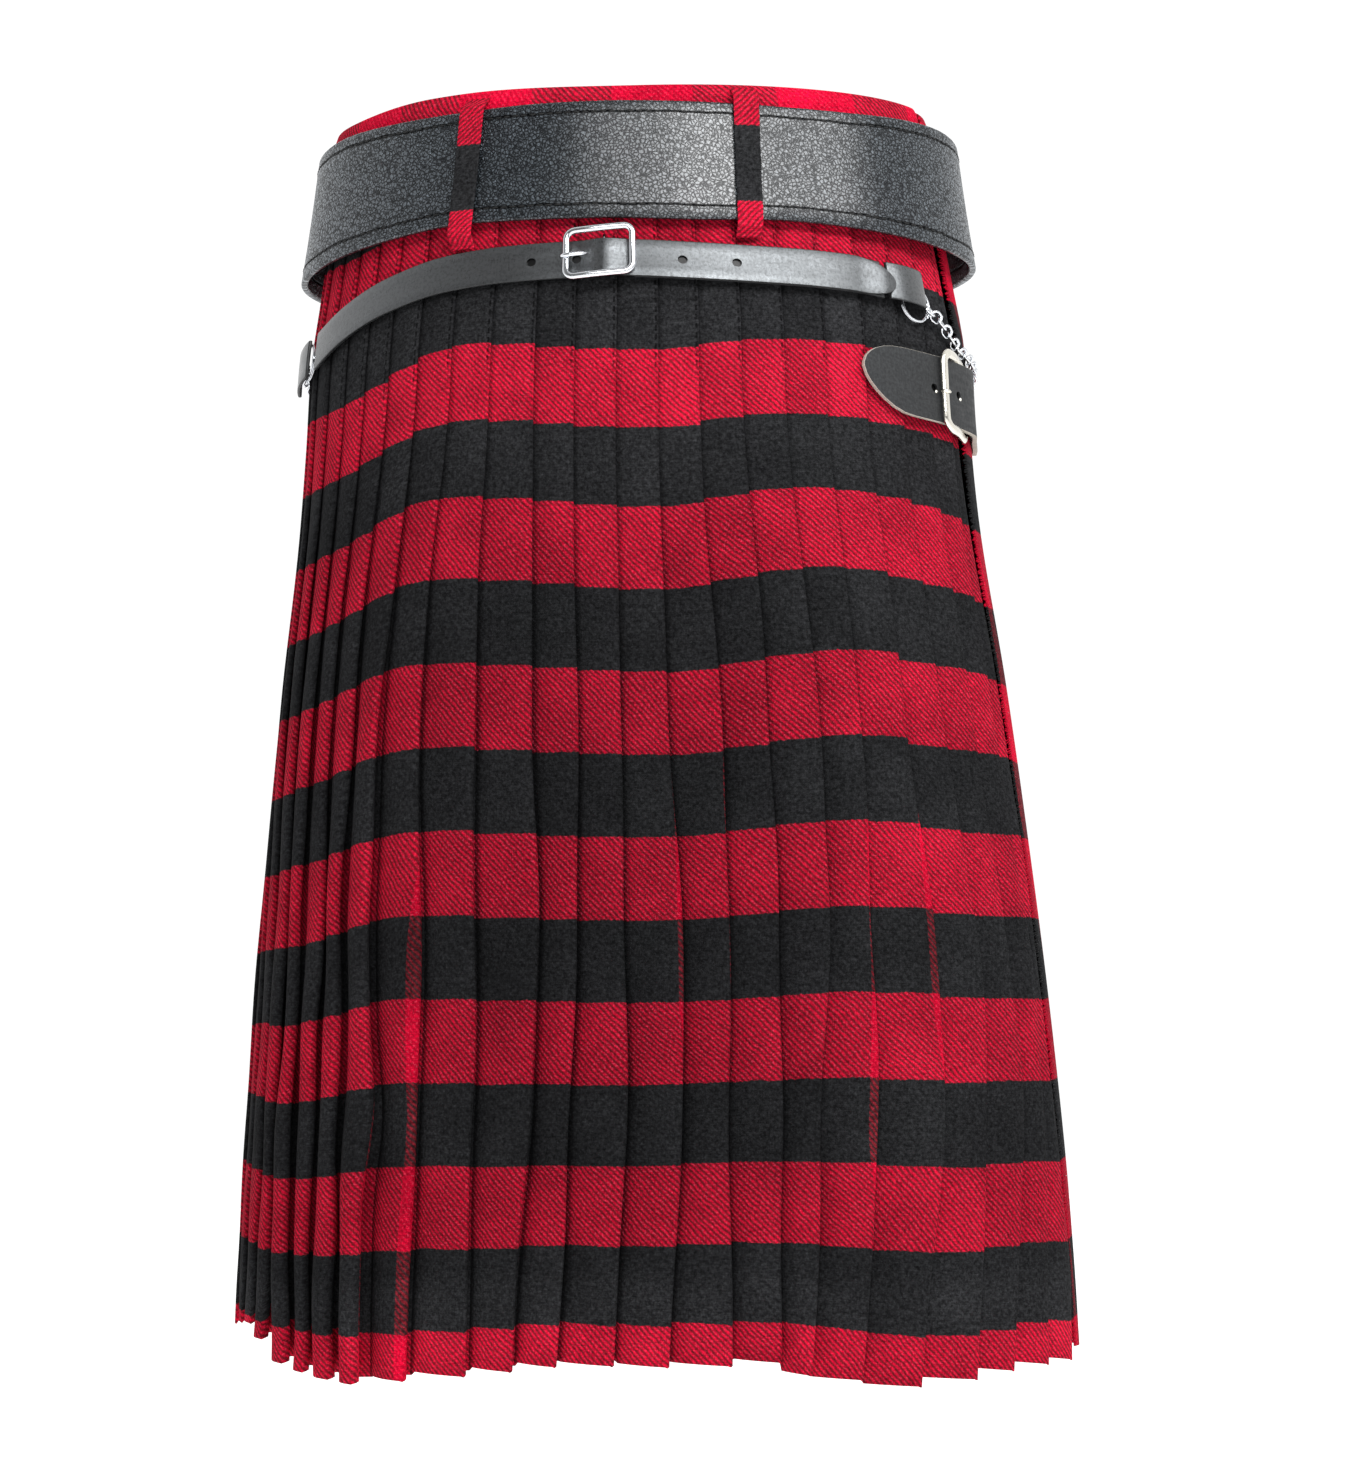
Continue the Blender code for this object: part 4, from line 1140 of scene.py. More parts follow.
class KiltFringeOperator(bpy.types.Operator):
    """Makes the fringe of twisted yarn along the over apron's free edge."""
    bl_idname = "kilt.fringe"
    bl_label = "Fringe"

    def execute(self, context):
        bm = bmesh.new()
        flat = bm.loops.layers.uv.new("UVMap")
        for k in range(ceil((FRINGE_END - FRINGE_TOP) / FRINGE_PITCH)):
            depth = FRINGE_TOP + k * FRINGE_PITCH
            length = YARN_LENGTH + 0.9 * sin(2.1 * k) + 0.5 * sin(0.31 * k)
            for strand in (0, 1):
                self.yarn(bm, flat, k, strand, depth, length)
        bmesh.ops.recalc_face_normals(bm, faces=bm.faces)
        add_piece(context, "apron_fringe_yarn", as_mesh(bm, "apron_fringe_yarn"), "loose_yarn",
                  "apron_fringe")
        return {"FINISHED"}

    def yarn(self, bm, flat, k, strand, depth, length):
        """One loose yarn, which lies over the pleats."""
        tuft = bmesh.ops.create_cone(bm, cap_ends=True, segments=5, radius1=YARN_ROOT,
                                     radius2=YARN_TIP, depth=1.0)["verts"]
        rings = [[v for v in tuft if v.co.z < 0], [v for v in tuft if v.co.z > 0]]
        edge = apron_edge(depth)
        drop = (FRONT_DROP - DROP) * hem_ease(depth)
        shift = 0.75 * strand + 0.25 * sin(3.7 * k + 2 * strand)
        for ring, share in zip(rings, (0.0, 1.0)):
            angle = edge - degrees_for(SEAM * 0.2 + length * share, depth, edge)
            under = PLEAT_RISE + YARN_OVER + tuck(depth, angle)
            out = max(APRON_OUT, under) + 0.3 * strand + share * 0.35 * sin(1.7 * k + strand)
            droop = 0.9 * share * share + 0.6 * share * sin(2.9 * k)
            centre = place(depth + shift, angle, out, drop + droop)
            normal = outward(depth, angle)
            for corner in ring:
                wide, high = corner.co.x, corner.co.y
                corner.co = (centre + normal * wide + Vector((0, 0, high))) * MM
        level = apron_level(0.0, depth) + shift
        for face in {face for corner in tuft for face in corner.link_faces}:
            for loop in face.loops:
                far = 0.0 if loop.vert in rings[0] else length
                loop[flat].uv = (far * MM, level * MM)


# Rows of the folded band: the depth, or None where it is measured from the band's top edge, how
# far below that edge, and the height out.
BAND_PROFILE = (
    (38.0, 0.0, BAND_OUT), (28.0, 0.0, BAND_OUT), (18.0, 0.0, BAND_OUT), (8.0, 0.0, BAND_OUT),
    (3.0, 0.0, BAND_OUT - 0.1), (None, 0.75, BAND_OUT - 0.9), (None, 0.0, 2.6),
    (None, 0.0, -1.2), (None, 1.05, -2.6), (3.0, 0.0, -3.4), (12.0, 0.0, -3.6),
    (24.0, 0.0, -3.6), (36.0, 0.0, -3.6),
)
# angle of the middle of each black stripe on the waistband
BAND_STRIPES = (-101.0, -69.0, -38.5, -7.9, 22.9, 59.0, 95.0)


def band_stripe(angle):
    """How far along the waistband's cloth an angle is, in millimetres."""
    return smooth_value(BAND_STRIPES, [TWO_SETTS / 2 * n for n in range(len(BAND_STRIPES))], angle)


class KiltWaistbandOperator(bpy.types.Operator):
    """Makes the folded waistband, one length on the pleats and one on each apron."""
    bl_idname = "kilt.waistband"
    bl_label = "Waistband"

    def execute(self, context):
        def band(name, columns, point_at, *replaced):
            outer = [point_at(column, 10.0, 0.0, BAND_OUT) for column in columns]
            along = running_lengths(outer)
            if "waistband_back" in replaced:
                along = [band_stripe(angle) for angle in columns]
            rows = [[point_at(column, depth, down, out) for column in columns]
                    for depth, down, out in BAND_PROFILE]
            levels = running_lengths([row[0] for row in rows])
            rows = [[(point, -length, -length, BAND_LEVEL + level)
                     for point, length in zip(row, along)] for row, level in zip(rows, levels)]
            add_cloth(context, name, rows[::-1], BAND_THICKNESS, BAND_CUT, "folded", [],
                      *replaced)

        def on_pleats(angle, depth, down, out):
            depth = band_top(angle) + down if depth is None else depth
            return place(depth, angle, out + tuck(depth, angle))

        def on_apron(share, depth, down, out):
            depth = -BAND_PROUD + down if depth is None else depth
            return apron_place(share, depth, out - PLEAT_RISE)

        def on_under(angle, depth, down, out):
            depth = 0.6 + down if depth is None else depth + 1.0
            return place(depth, angle, tuck(max(depth, 0.0), angle) + (1.6 if out > 0 else -1.4)
                         * min(1.0, abs(out) / 2.6))

        band("waistband_on_pleats", spread(PLEATS_START, PLEATS[-1].fell, 2.5), on_pleats,
             "waistband_back")
        band("waistband_on_apron", spread(0.0, 1.0, 1.0 / OVER_COLUMNS), on_apron,
             "waistband_front")
        band("waistband_on_under_apron", spread(PLEATS[-1].fell + 1.4, UNDER_APRON_END, 3.0),
             on_under)
        return {"FINISHED"}


# depth and height out of each bend of a belt loop, from its top to its lower end
LOOP_DEPTHS = (1.0, 2.6, 4.2, 5.2, 7.0, 20.0, 32.0, 44.0, 56.0, 65.2, 68.6, 70.6, 72.2, 73.8, 75.4)
LOOP_OUTS = (6.2, 6.9, 8.8, 10.6, 11.4, 11.5, 11.5, 11.5, 11.5, 11.5, 11.0, 9.4, 7.2, 5.6, 5.0)
LOOP_RED = 94.4  # where its black band starts down the check
# side, angles of its upper and lower end, where its top is down the check, and the stretch
# of its black band
BELT_LOOPS = (("left", -26.5, -28.1, 70.0, 0.86), ("right", 24.6, 23.4, 74.0, 1.0))


class KiltBeltLoopsOperator(bpy.types.Operator):
    """Makes the two cloth loops that carry the wide belt."""
    bl_idname = "kilt.belt_loops"
    bl_label = "Belt loops"

    def execute(self, context):
        width = context.scene.kilt_belt.loop_width / MM
        for side, top, bottom, level, stretch in BELT_LOOPS:
            rows = []
            for depth in spread(LOOP_DEPTHS[0], LOOP_DEPTHS[-1], 1.2):
                out = smooth_value(LOOP_DEPTHS, LOOP_OUTS, depth)
                middle = top + (bottom - top) * depth / LOOP_DEPTHS[-1]
                down = LOOP_RED + (depth + level - LOOP_RED) / stretch
                row = []
                for across in (-0.5, -0.46, -0.3, -0.1, 0.1, 0.3, 0.46, 0.5):
                    angle = middle + degrees_for(width * across, depth, middle)
                    sink = 0.35 * max(0.0, abs(across) - 0.4) / 0.1
                    pull = 0.25 * sin(depth / 3.1 + 6 * across) * abs(across)
                    row.append((place(depth, angle, out - sink + pull), -width * across,
                                -width * across, down))
                rows.append(row)
            add_cloth(context, f"belt_loop_{side}_cloth", rows, LOOP_THICKNESS, LOOP_CUT,
                      "folded", ["wide_belt"], f"belt_loop_{side}")
        return {"FINISHED"}


# ---------------------------------------------------------------- belt

BELT_GAP = 0.35  # half the gap between its ends, in degrees
BELT_PLACES = (0.0, 15.0, 30.0, 45.0, 60.0, 75.0, 95.0, 130.0, 165.0, 180.0)
# depth of its edges and height of its middle line, on the left and on the right
BELT_TOPS = ((6.9, 6.5, 7.1, 7.3, 7.4, 9.0, 12.0, 18.0, 22.5, 23.0),
             (6.9, 8.3, 9.8, 10.6, 10.4, 11.0, 14.0, 18.5, 22.5, 23.0))
BELT_BOTTOMS = ((65.4, 64.2, 63.4, 66.2, 69.4, 72.4, 74.0, 77.6, 80.8, 81.0),
                (65.4, 67.2, 67.0, 68.8, 71.4, 74.0, 75.2, 77.8, 80.8, 81.0))
BELT_OUTS = ((7.8, 7.8, 7.9, 8.4, 9.4, 10.6, 11.8, 11.0, 7.8, 7.8),
             (7.8, 7.8, 7.9, 9.2, 11.4, 13.0, 13.6, 11.6, 7.8, 7.8))
BELT_EDGE = 1.1  # radius of its rounded edges
BELT_LEAN = 1.4  # how much further out its upper edge is than its lower one, on the right
STITCH_WIDE, STITCH_RISE = 0.3, 0.42  # half a stitch's width and thickness
PLATE_LONG, PLATE_HIGH = 39.0, 30.0  # half the plate's length and height
PLATE_CORNER, PLATE_DRAWN = 3.0, 0.975  # size of its corners, and how far they are drawn in
PLATE_BACK, PLATE_ROUND = -1.6, 0.0007  # level of its back, and radius of its edges in metres
PLATE_OFF = 0.4 + 1.8  # its clearance from the leather, and half its own thickness
# share of the way to the plate's edge from which its face has a height
PLATE_STEPS = ((0.999, -1.3), (0.88, 1.3), (0.78, 0.2), (-1.0, 0.0))


def belt_value(table, angle):
    return smooth_value(BELT_PLACES, table[angle >= 0], abs(angle))


def belt_place(angle, share, out):
    """Point at a share of the way down the belt, which leans out at the top on the right."""
    top, bottom = belt_value(BELT_TOPS, angle), belt_value(BELT_BOTTOMS, angle)
    side = sin(radians(min(abs(angle), 120.0))) ** 4 if abs(angle) < 150 else 0.0
    lean = (0.5 - share) * (BELT_LEAN if angle > 0 else -BELT_LEAN) * side
    return place(top + (bottom - top) * share, angle, out + lean)


class KiltBeltOperator(bpy.types.Operator):
    """Makes the wide belt with its stitching and the plate that closes it."""
    bl_idname = "kilt.belt"
    bl_label = "Belt"

    def execute(self, context):
        belt = context.scene.kilt_belt
        height, thickness = belt.height / MM, belt.thickness / MM
        line = Line(-180.0 + BELT_GAP, 180.0 - BELT_GAP,
                    lambda angle: belt_value(BELT_TOPS, angle) + height / 2,
                    lambda angle: belt_value(BELT_OUTS, angle))

        def lay(flat):
            angle = line.angle(flat.x)
            return belt_place(angle, flat.y / height + 0.5,
                              belt_value(BELT_OUTS, angle) + flat.z)

        add_strip(context, "wide_belt", straight(line.length, height / 2, 4.5), thickness,
                  BELT_EDGE, lay, "pebbled_leather", "belt", across=6)
        places = [(along, down, thickness / 2 + 0.05)
                  for down in (STITCH_TOP - height / 2, height / 2 - STITCH_LOW)
                  for along in spread(3.0, line.length - 3.0, belt.stitch_pitch / MM)]
        mesh = stitch_row("belt_stitching", places, belt.stitch / MM, STITCH_WIDE, STITCH_RISE)
        add_piece(context, "belt_stitching", laid(mesh, lay), "belt_thread")
        self.plate(context, height, thickness)
        return {"FINISHED"}

    def plate(self, context, height, thickness):
        """The plain plate at the front, with a raised border."""
        ring = Line(160.0, 200.0, lambda angle: belt_value(BELT_TOPS, -180.0) + height / 2,
                    lambda angle: BELT_OUTS[0][-1] + thickness / 2 + PLATE_OFF)
        middle = ring.along(180.0)
        bm = bmesh.new()
        bmesh.ops.create_grid(bm, x_segments=26, y_segments=20, size=1.0)
        for corner in bm.verts:
            x, y = corner.co.x * PLATE_LONG, corner.co.y * PLATE_HIGH
            away = max(abs(corner.co.x), abs(corner.co.y))
            rise = next(high for share, high in PLATE_STEPS if away > share)
            # the plate's corners are drawn in a little
            outer = abs(x) > PLATE_LONG - PLATE_CORNER and abs(y) > PLATE_HIGH - PLATE_CORNER
            drawn = PLATE_DRAWN if outer else 1.0
            corner.co = (middle + x * drawn, y * drawn, rise)
        rim = [edge for edge in bm.edges if edge.is_boundary]
        for part in bmesh.ops.extrude_edge_only(bm, edges=rim)["geom"]:
            if isinstance(part, bmesh.types.BMVert):
                part.co.z = PLATE_BACK
        bmesh.ops.holes_fill(bm, edges=[e for e in bm.edges if e.is_boundary], sides=0)
        bmesh.ops.recalc_face_normals(bm, faces=bm.faces)
        plate = add_piece(context, "belt_plate", laid(as_mesh(bm, "belt_plate"), ring.lay),
                          "bright_chrome", "belt_buckle")
        rounding = plate.modifiers.new("rounding", "BEVEL")
        rounding.width, rounding.segments, rounding.limit_method = PLATE_ROUND, 2, "ANGLE"


# ---------------------------------------------------------------- sporran strap

STRAP, STRAP_END, STRAP_EDGE = 2.0, 1.8, 0.6  # thickness, that of its ends, rounded edges
STRAP_PLACES = (-84.0, -76.0, -67.0, -57.0, -48.7, -43.0, -34.0, -26.0, -18.7, 0.0, 13.5, 24.0,
                35.0, 46.5, 56.0, 62.0)
STRAP_DEPTHS = (121.0, 117.0, 111.6, 103.0, 96.3, 92.7, 88.0, 86.0, 85.2, 85.4, 87.7, 89.3,
                90.4, 92.0, 94.8, 96.2)
# height out of the short strap, and of the long one that lies over it
STRAP_LOW_OUT = 5.3
STRAP_HIGH_OUT = STRAP_LOW_OUT + STRAP + 0.4
STRAP_START, STRAP_TIP = -68.8, 52.0
STRAP_SHORT = (3.2, 50.2)
# side, angles where the folded end starts and stops, height out and rise of the fold
STRAP_ENDS = (("left", -84.0, -72.2, 6.9, 1.0), ("right", 50.9, 60.9, 7.4, 2.6))
STRAP_HOLES = (-14.6, -6.6, 11.4, 20.7)
BUCKLE_ANGLE, BUCKLE_DEPTH = -2.5, 82.6
BUCKLE_TILT, BUCKLE_RUN, BUCKLE_BOW = 2.4, 33.7, 36.0  # its rise over a run, and its bow's run
BUCKLE_WIDE, BUCKLE_HIGH = 30.4, 23.0
# along from the frame's left side and height out
BUCKLE_PRONG = ((-2.3, -0.2), (-1.6, 1.3), (0.0, 2.1), (2.4, 2.0), (6.0, 1.2), (9.5, -0.2))
HUMP = BUCKLE_ANGLE + 0.9  # where the long strap bulges up inside its buckle
HUMP_HALF, HUMP_RISE = 5.2, 3.6  # half the bulge in degrees, and its height
TIP_LIFT, TIP_RISES = 2.4, (45.0, 49.8)  # how far its tip is lifted, and at which angles


def strap_depth(angle):
    """Depth of the narrow strap's middle line."""
    return smooth_value(STRAP_PLACES, STRAP_DEPTHS, angle)


def long_out(angle):
    """Height of the long strap, which bulges up inside its buckle."""
    over = STRAP_LOW_OUT + (STRAP_HIGH_OUT - STRAP_LOW_OUT) * ease(HUMP - 5.0, HUMP, angle)
    away = min(abs(angle - HUMP) / HUMP_HALF, 1.0)
    return over + HUMP_RISE * cos(away * pi / 2) ** 2 + TIP_LIFT * ease(*TIP_RISES, angle)


class KiltSporranStrapOperator(bpy.types.Operator):
    """Makes the narrow strap's two lengths and the folded ends that hold the rings."""
    bl_idname = "kilt.sporran_strap"
    bl_label = "Sporran strap"

    def execute(self, context):
        straps = context.scene.kilt_straps
        half = straps.narrow / MM / 2
        line = Line(STRAP_START, STRAP_TIP, strap_depth, long_out, 0.25)
        stations = [(along, width, 1.6 * ease(line.length - 24.0, line.length, along))
                    for along, width, _ in pointed(line.length, half, 20.0, 0.12, 2.2)]
        add_strip(context, "narrow_strap_long", stations, STRAP, STRAP_EDGE, line.lay,
                  "polished_leather", "sporran_strap_long", sharp=SHARP,
                  holes=[(line.along(angle), 0.1) for angle in STRAP_HOLES],
                  hole=straps.hole / MM)
        low = Line(*STRAP_SHORT, strap_depth, lambda angle: STRAP_LOW_OUT)
        add_strip(context, "narrow_strap_short", straight(low.length, half, 3.0), STRAP,
                  STRAP_EDGE, low.lay, "polished_leather", "sporran_strap_short")
        for side, start, end, out, rise in STRAP_ENDS:
            self.folded_end(context, side, start, end, half, out, rise)
        return {"FINISHED"}

    def folded_end(self, context, side, start, end, half, low, rise):
        """A strap end that stands up like a fat fold over its ring."""
        run = Line(start, end, strap_depth, lambda angle: low)

        def arch(flat):
            share = min(max(flat.x / run.length, 0.0), 1.0)
            return run.lay(Vector((flat.x, flat.y, flat.z + rise * sin(pi * share) ** 0.7)))

        add_strip(context, f"narrow_strap_end_{side}", straight(run.length, half, 0.8),
                  STRAP_END, STRAP_EDGE, arch, "polished_leather", f"sporran_strap_end_{side}")


class KiltSporranBuckleOperator(bpy.types.Operator):
    """Makes the narrow strap's frame, prong and bar."""
    bl_idname = "kilt.sporran_buckle"
    bl_label = "Sporran buckle"

    def execute(self, context):
        out = STRAP_HIGH_OUT + STRAP / 2 + 3.2

        def at(across, down, more=0.0):
            angle = BUCKLE_ANGLE + degrees_for(across, BUCKLE_DEPTH, BUCKLE_ANGLE)
            bow = cos(pi * across / BUCKLE_BOW)
            depth = BUCKLE_DEPTH + down - BUCKLE_TILT * across / BUCKLE_RUN
            return place(depth, angle, out + bow + more), outward(BUCKLE_DEPTH, angle)

        add_bar(context, "narrow_strap_frame",
                [at(*spot) for spot in rounded_frame(BUCKLE_WIDE, BUCKLE_HIGH, 4.0)], 3.4, 2.6,
                "bright_chrome", "sporran_buckle", closed=True, sides=12)
        add_bar(context, "narrow_strap_prong",
                [at(along - BUCKLE_WIDE / 2, 0.6, more) for along, more in BUCKLE_PRONG],
                2.3, 1.7, "bright_chrome", "sporran_prong")
        angle = BUCKLE_ANGLE + 0.6
        normal = outward(BUCKLE_DEPTH, angle)
        add_bar(context, "narrow_strap_bar",
                [(place(BUCKLE_DEPTH + down, angle, STRAP_LOW_OUT + 0.2), normal)
                 for down in spread(-9.4, 9.4, 3.0)], 1.7, 1.7, "bright_chrome",
                "sporran_buckle_bar")
        return {"FINISHED"}


# ---------------------------------------------------------------- rings and chain

# angle, depth and height out
CHAIN_RIGHT = ((62.0, 105.8, 7.2), (65.4, 110.3, 7.0), (68.8, 115.7, 6.2), (72.1, 119.3, 5.1),
               (74.6, 121.3, 4.7), (80.0, 123.5, 4.7), (95.0, 128.5, 4.7), (120.0, 138.0, 6.0),
               (150.0, 146.0, 6.6), (175.2, 150.0, 6.6))
CHAIN_LEFT = ((-79.8, 117.0, 5.0), (-86.0, 117.2, 5.2), (-90.0, 118.2, 5.8), (-97.0, 121.5, 6.4),
              (-120.0, 137.0, 6.8), (-150.0, 146.0, 6.6), (-175.2, 150.0, 6.6))
# the split rings: side, angle and depth, then radius, one turn's rise and steps, height out
SPLIT_RINGS = (("right", 58.9, 102.9), ("left", -74.6, 115.8))
SPLIT_RADIUS, SPLIT_WIRE, SPLIT_STEPS, SPLIT_OUT = 8.8, 0.75, 30, 5.1
# the ring at the front
FRONT_RADIUS, FRONT_DEPTH, FRONT_OUT, FRONT_STEPS = 8.0, 152.0, 6.6, 28
# radius of a link's bends, half its straight part, and its tilt in degrees
LINK_BEND, LINK_STRETCH, LINK_TILT = 2.6, 0.75, 38.0


def ring_knot(depth, angle, radius, turn, out):
    """Knot of a ring that lies on the body."""
    shift = degrees_for(radius * cos(turn), depth, angle)
    return place(depth + radius * sin(turn), angle + shift, out), outward(depth, angle)


class KiltChainOperator(bpy.types.Operator):
    """Makes the sporran chain's links, its split rings and the ring at the front."""
    bl_idname = "kilt.chain"
    bl_label = "Chain and rings"

    def execute(self, context):
        metal = context.scene.kilt_metal
        for side, angle, depth in SPLIT_RINGS:
            turns = metal.ring_turns
            knots = [ring_knot(depth, angle, SPLIT_RADIUS, 2 * pi * i / SPLIT_STEPS,
                               SPLIT_OUT + SPLIT_WIRE * (i / SPLIT_STEPS - turns / 2))
                     for i in range(turns * SPLIT_STEPS + 5)]
            add_bar(context, f"split_ring_{side}_wire", knots, 1.3, 0.8, "bright_chrome",
                    f"split_ring_{side}", sides=8)
        for side, stations in (("right", CHAIN_RIGHT), ("left", CHAIN_LEFT)):
            self.chain(context, side, stations, metal)
        knots = [ring_knot(FRONT_DEPTH, 180.0, FRONT_RADIUS, 2 * pi * i / FRONT_STEPS, FRONT_OUT)
                 for i in range(FRONT_STEPS)]
        add_bar(context, "chain_ring", knots, 2.0, 2.0, "bright_chrome", "chain_join_ring",
                closed=True)
        return {"FINISHED"}

    def link(self, wire):
        """One oval link, in millimetres."""
        bm = bmesh.new()
        profile = bmesh.ops.create_circle(bm, segments=6, radius=wire,
                                          matrix=Matrix.Translation((LINK_BEND, 0, 0))
                                          @ Matrix.Rotation(pi / 2, 4, "X"))
        bmesh.ops.spin(bm, geom=profile["verts"] + bm.edges[:], cent=(0, 0, 0), axis=(0, 0, 1),
                       angle=2 * pi, steps=12, use_merge=True, use_duplicate=False)
        for corner in bm.verts:
            corner.co.x += LINK_STRETCH if corner.co.x > 0 else -LINK_STRETCH
        bmesh.ops.recalc_face_normals(bm, faces=bm.faces)
        return as_mesh(bm, "link")

    def chain(self, context, side, stations, metal):
        """Links in a row, each tilted the other way from the last."""
        angles, depths, outs = zip(*stations)
        angles = [abs(angle) for angle in angles]
        sign = 1 if side == "right" else -1
        walk = [sign * angle for angle in spread(angles[0], angles[-1], 0.5)]

        def depth_at(angle):
            return smooth_value(angles, depths, abs(angle))

        points = [place(depth_at(angle), angle, smooth_value(angles, outs, abs(angle)))
                  for angle in walk]
        lengths = running_lengths(points)
        count = int(lengths[-1] / (metal.link_pitch / MM))
        turns, k = [], 0
        for n in range(count + 1):
            at = lengths[-1] * n / count
            while k < len(lengths) - 2 and lengths[k + 1] < at:
                k += 1
            share = (at - lengths[k]) / (lengths[k + 1] - lengths[k])
            centre = points[k].lerp(points[k + 1], share)
            run = (points[k + 1] - points[k]).normalized()
            cross = outward(depth_at(walk[k]), walk[k]).cross(run).normalized()
            turn = Matrix((run, cross, run.cross(cross).normalized())).transposed().to_4x4()
            tilt = radians(LINK_TILT if n % 2 else -LINK_TILT)
            turns.append(Matrix.Scale(MM, 4) @ Matrix.Translation(centre) @ turn
                         @ Matrix.Rotation(tilt, 4, "X"))
        name = f"chain_{side}_links"
        mesh = strewn(name, self.link(metal.link_wire / MM), turns)
        add_piece(context, name, mesh, "bright_chrome", f"chain_{side}")


# ---------------------------------------------------------------- hip strap

# angle, depth of the middle, height out
SIDE_STATIONS = ((43.9, 137.6, 5.7), (46.0, 139.0, 5.8), (48.6, 140.6, 5.9), (52.0, 142.4, 6.0),
                 (55.5, 143.8, 7.0), (60.0, 144.7, 7.3), (64.0, 145.2, 7.3), (68.0, 145.7, 7.1),
                 (72.0, 146.3, 7.0), (75.0, 146.8, 7.4), (78.0, 147.3, 7.3), (81.0, 147.8, 5.6),
                 (84.0, 148.3, 4.0), (88.0, 149.0, 3.2), (96.0, 150.4, 3.1))
SIDE_ANGLES, SIDE_DEPTHS, SIDE_OUTS = zip(*SIDE_STATIONS)
# the buckle's left and right side and its middle's depth, its height, and how far out its
# left side is and how far it falls from there to the right
SIDE_FRAME_LEFT, SIDE_FRAME_RIGHT, SIDE_FRAME_DEPTH = 63.3, 76.6, 148.0
SIDE_FRAME_HIGH, SIDE_FRAME_OUT, SIDE_FRAME_FALL = 37.6, 10.7, 6.8
SIDE_HOLES, SIDE_STUDS = (60.9, 69.9), (61.4, 70.5)  # their angles
SIDE_THICK, SIDE_EDGE, STUD_RADIUS = 2.4, 0.55, 0.95
SIDE_PRONG = ((-2.4, -0.4), (-1.6, 1.4), (0.0, 2.1), (1.5, 1.6))


def side_depth(angle):
    return smooth_value(SIDE_ANGLES, SIDE_DEPTHS, angle)


def side_out(angle):
    return smooth_value(SIDE_ANGLES, SIDE_OUTS, angle)


class KiltHipStrapOperator(bpy.types.Operator):
    """Makes the hip strap, its buckle and the tab that holds the buckle."""
    bl_idname = "kilt.hip_strap"
    bl_label = "Hip strap"

    def execute(self, context):
        straps = context.scene.kilt_straps
        line = Line(SIDE_ANGLES[0], SIDE_ANGLES[-1], side_depth, side_out, 0.25)
        stations = [(line.length - along, width, -1.2 * (1 - ease(0.0, 26.0, line.length - along)))
                    for along, width, _
                    in reversed(pointed(line.length, straps.wide / MM / 2, 29.0, 0.06, 2.5))]
        add_strip(context, "hip_strap", stations, SIDE_THICK, SIDE_EDGE, line.lay,
                  "hip_leather", "side_strap", sharp=SHARP, across=6,
                  hole=straps.hole / MM * 0.95,
                  holes=[(line.along(angle), -0.2) for angle in SIDE_HOLES])
        for number, angle in enumerate(SIDE_STUDS, 1):
            bm = bmesh.new()
            bmesh.ops.create_uvsphere(bm, u_segments=12, v_segments=8, radius=STUD_RADIUS)
            mesh = as_mesh(bm, f"hip_stud_{number}")
            centre = place(side_depth(angle) + 1.6, angle, side_out(angle) + 1.0) * MM
            mesh.transform(Matrix.Translation(centre) @ Matrix.Scale(MM, 4))
            add_piece(context, mesh.name, mesh, "pale_nickel")
        tab = Line(57.5, 68.0, side_depth, lambda angle: 4.9)
        add_strip(context, "hip_buckle_tab", straight(tab.length, 14.0, 3.0), 0.9, 0.3, tab.lay,
                  "polished_leather", "side_buckle_tab")

        middle = (SIDE_FRAME_LEFT + SIDE_FRAME_RIGHT) / 2
        per_mm = degrees_for(1.0, SIDE_FRAME_DEPTH, middle)
        width = (SIDE_FRAME_RIGHT - SIDE_FRAME_LEFT) / per_mm

        def at(across, down, more=0.0):
            angle = middle + across * per_mm
            fall = SIDE_FRAME_FALL * ease(SIDE_FRAME_LEFT, SIDE_FRAME_RIGHT, angle)
            out = SIDE_FRAME_OUT - fall
            return (place(side_depth(angle) + down, angle, out + more),
                    outward(SIDE_FRAME_DEPTH, angle))

        add_bar(context, "hip_frame",
                [at(*spot) for spot in rounded_frame(width, SIDE_FRAME_HIGH, 5.0)], 4.9, 2.8,
                "pale_nickel", "side_buckle", closed=True, sides=12)
        add_bar(context, "hip_prong",
                [at(along - width / 2, 1.2, more) for along, more in SIDE_PRONG], 1.8, 1.4,
                "pale_nickel", "side_prong")
        return {"FINISHED"}


# ---------------------------------------------------------------- floor, lights and camera

# where the camera is, in metres, and how it is turned, in degrees
CAMERA_SPOT = (0.20072, -2.29424, -0.52398)
CAMERA_TURN, CAMERA_ROLL = 5.0, 1.15
# rise and sideways turn of its middle line over the same run
CAMERA_RISE, CAMERA_SIDE, CAMERA_RUN = 449.5, 27.0, 4650.0
FLOOR_RADIUS = 40.0
FRONT_OF_ROOM = Vector((0.06, -0.99, -0.05)).normalized()
# where each soft light is, what it is aimed at, and its width and height, in metres
LIGHTS = {"key": ((0.70, -0.92, 0.50), (0.05, -0.08, -0.12), 1.15, 0.46),
          "front": ((0.22, -1.20, 0.47), (0.02, -0.11, -0.04), 1.0, 0.34)}


